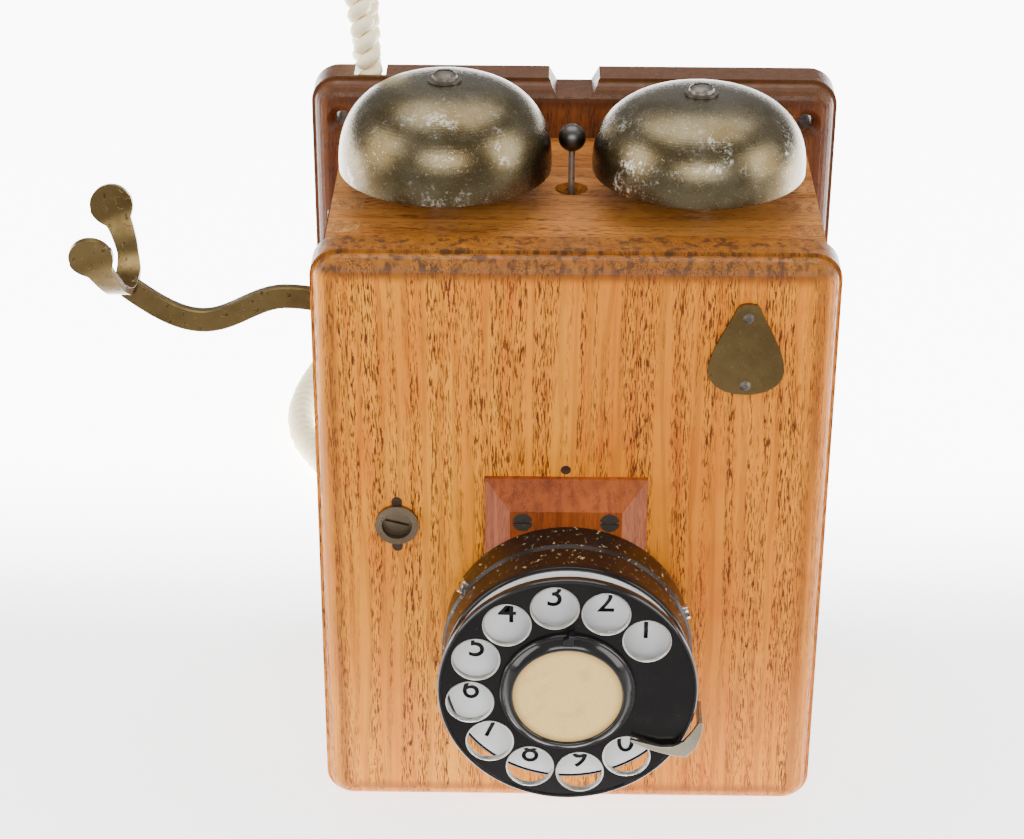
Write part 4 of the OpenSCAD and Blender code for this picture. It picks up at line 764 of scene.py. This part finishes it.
make_finger_rims()
ring_piece("wheel_edge", [(36.6, 0.0), (36.9, 0.45), (37.4, 0.5), (37.8, 0.1), (37.9, -0.9),
                          (37.7, -2.2), (37.0, -2.5), (36.4, -1.9)], WHEEL_FRONT,
           "gloss_black", "finger_wheel", "black_enamel")
ring = ring_piece("card_ring", [(19.95, 0.0), (19.9, 0.9), (19.4, 1.5), (18.9, 1.5), (18.4, 2.2),
                                (17.2, 3.3), (16.6, 3.6), (16.1, 3.4), (15.9, 2.8), (15.9, 0.0)],
                  WHEEL_FRONT, "gloss_black", "finger_wheel", "black_enamel")
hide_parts("card_retainer")
disc_verts, disc_faces = lathe([(0, 2.7), (15.0, 2.7), (15.88, 2.65), (15.88, 2.2), (0, 2.2)], 96)
card = piece("card_disc", placed(disc_verts, Matrix.Translation((DIAL.x, WHEEL_FRONT, DIAL.z))
                                 @ FACE_FRONT), disc_faces, "card", "finger_wheel", "card")
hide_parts("number_card")
ring_piece("cup_front_rim", [(35.4, 0.0), (35.5, 0.9), (36.0, 1.3), (36.5, 1.0), (36.7, 0.0),
                             (36.6, -1.6), (35.8, -1.8)], -136.6,
           "wheel", "door", "black_enamel")
make_digits()
latch = slab([(-2.6, 87.9), (-2.4, 90.0), (-0.9, 90.6), (-0.9, 91.4), (0.9, 91.4), (0.9, 90.6),
              (0.4, 90.0), (0.6, 87.9)], WHEEL_FRONT - 3.4, WHEEL_FRONT - 0.2)
piece("retainer_latch", *latch, "gloss_black", "finger_wheel", "black_enamel", 30, 0.25)


def make_stop():
    """Finger stop: a leg from the cup's side and a tapered blade bent over the wheel."""
    blade = [(18.4, -14.8), (23.1, -16.3), (27.4, -17.4), (31.2, -17.2), (34.1, -15.5),
             (36.4, -12.2), (38.3, -8.8), (39.6, -9.2), (39.1, -13.5), (37.8, -17.6),
             (35.0, -21.0), (31.2, -20.5), (27.4, -19.5), (23.1, -18.0), (19.0, -16.0)]
    leg = [(38.4, -9.0), (39.6, -9.4), (39.2, -13.3), (38.0, -12.9)]
    for name, outline, y0, y1 in (("stop_blade", blade, -149.0, -147.5),
                                  ("stop_leg", leg, -148.0, -136.5)):
        verts, faces = slab([(DIAL.x + x, DIAL.z + z) for x, z in outline], y0, y1)
        o = piece(name, verts, faces, "dull_nickel", "door", "nickel", 40, 0.3)
        if name == "stop_blade":
            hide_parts("finger_stop")


make_stop()

# ---------------------------------------------------------------- room and light

GLOW, FAR_GLOW = 2.4, 6.5     # light given off by the floor, and what is added far behind


def make_room():
    """White sweep that glows behind and round the telephone and fades in front of it."""
    me = bpy.data.meshes.new("floor")
    me.from_pydata([(-4, -4, 0), (4, -4, 0), (4, 6, 0), (-4, 6, 0)], [], [[0, 1, 2, 3]])
    m, nt, bsdf, where = start("pale_floor", Roughness=0.8, Emission_Color=(1, 1, 1, 1))
    sep = nt.nodes.new("ShaderNodeSeparateXYZ")
    nt.links.new(put(nt, "ShaderNodeNewGeometry"), sep.inputs[0])
    behind = fade(nt, sep.outputs[1], -0.23, -0.125)
    far = fade(nt, sep.outputs[1], -0.02, 0.12)
    nt.links.new(blend_of(nt, behind, (0.48, 0.48, 0.48), (0.92, 0.92, 0.92)),
                 bsdf.inputs["Base Color"])
    glow = maths(nt, "MULTIPLY_ADD", behind, GLOW, maths(nt, "MULTIPLY", far, FAR_GLOW))
    nt.links.new(glow, bsdf.inputs["Emission Strength"])
    me.materials.append(m)
    o = bpy.data.objects.new("floor", me)
    bpy.context.collection.objects.link(o)
    world = bpy.data.worlds.new("world")
    bpy.context.scene.world = world
    world.use_nodes = True
    back = world.node_tree.nodes["Background"]
    back.inputs[0].default_value = (1.0, 1.0, 1.0, 1)
    back.inputs[1].default_value = 0.55


def lamp(name, at, to, size, power, tint=(1, 1, 1)):
    data = bpy.data.lights.new(name, "AREA")
    data.shape = "RECTANGLE"
    data.size, data.size_y = size
    data.energy = power
    data.color = tint
    o = bpy.data.objects.new(name, data)
    o.location = at
    o.rotation_mode = "QUATERNION"
    o.rotation_quaternion = (Vector(to) - Vector(at)).to_track_quat("-Z", "Y")
    bpy.context.collection.objects.link(o)


make_room()
lamp("overhead", (0.0, 0.25, 1.3), (0, -0.03, 0.12), (1.2, 0.9), 14)
lamp("left_side", (-1.1, -0.3, 0.6), (0, -0.05, 0.12), (0.7, 0.9), 11, (1, 0.98, 0.95))
lamp("right_side", (1.1, -0.35, 0.6), (0, -0.05, 0.12), (0.7, 0.9), 11, (1, 0.98, 0.95))
lamp("front_fill", (0.0, -1.5, 0.9), (0, -0.05, 0.1), (1.2, 0.6), 16)
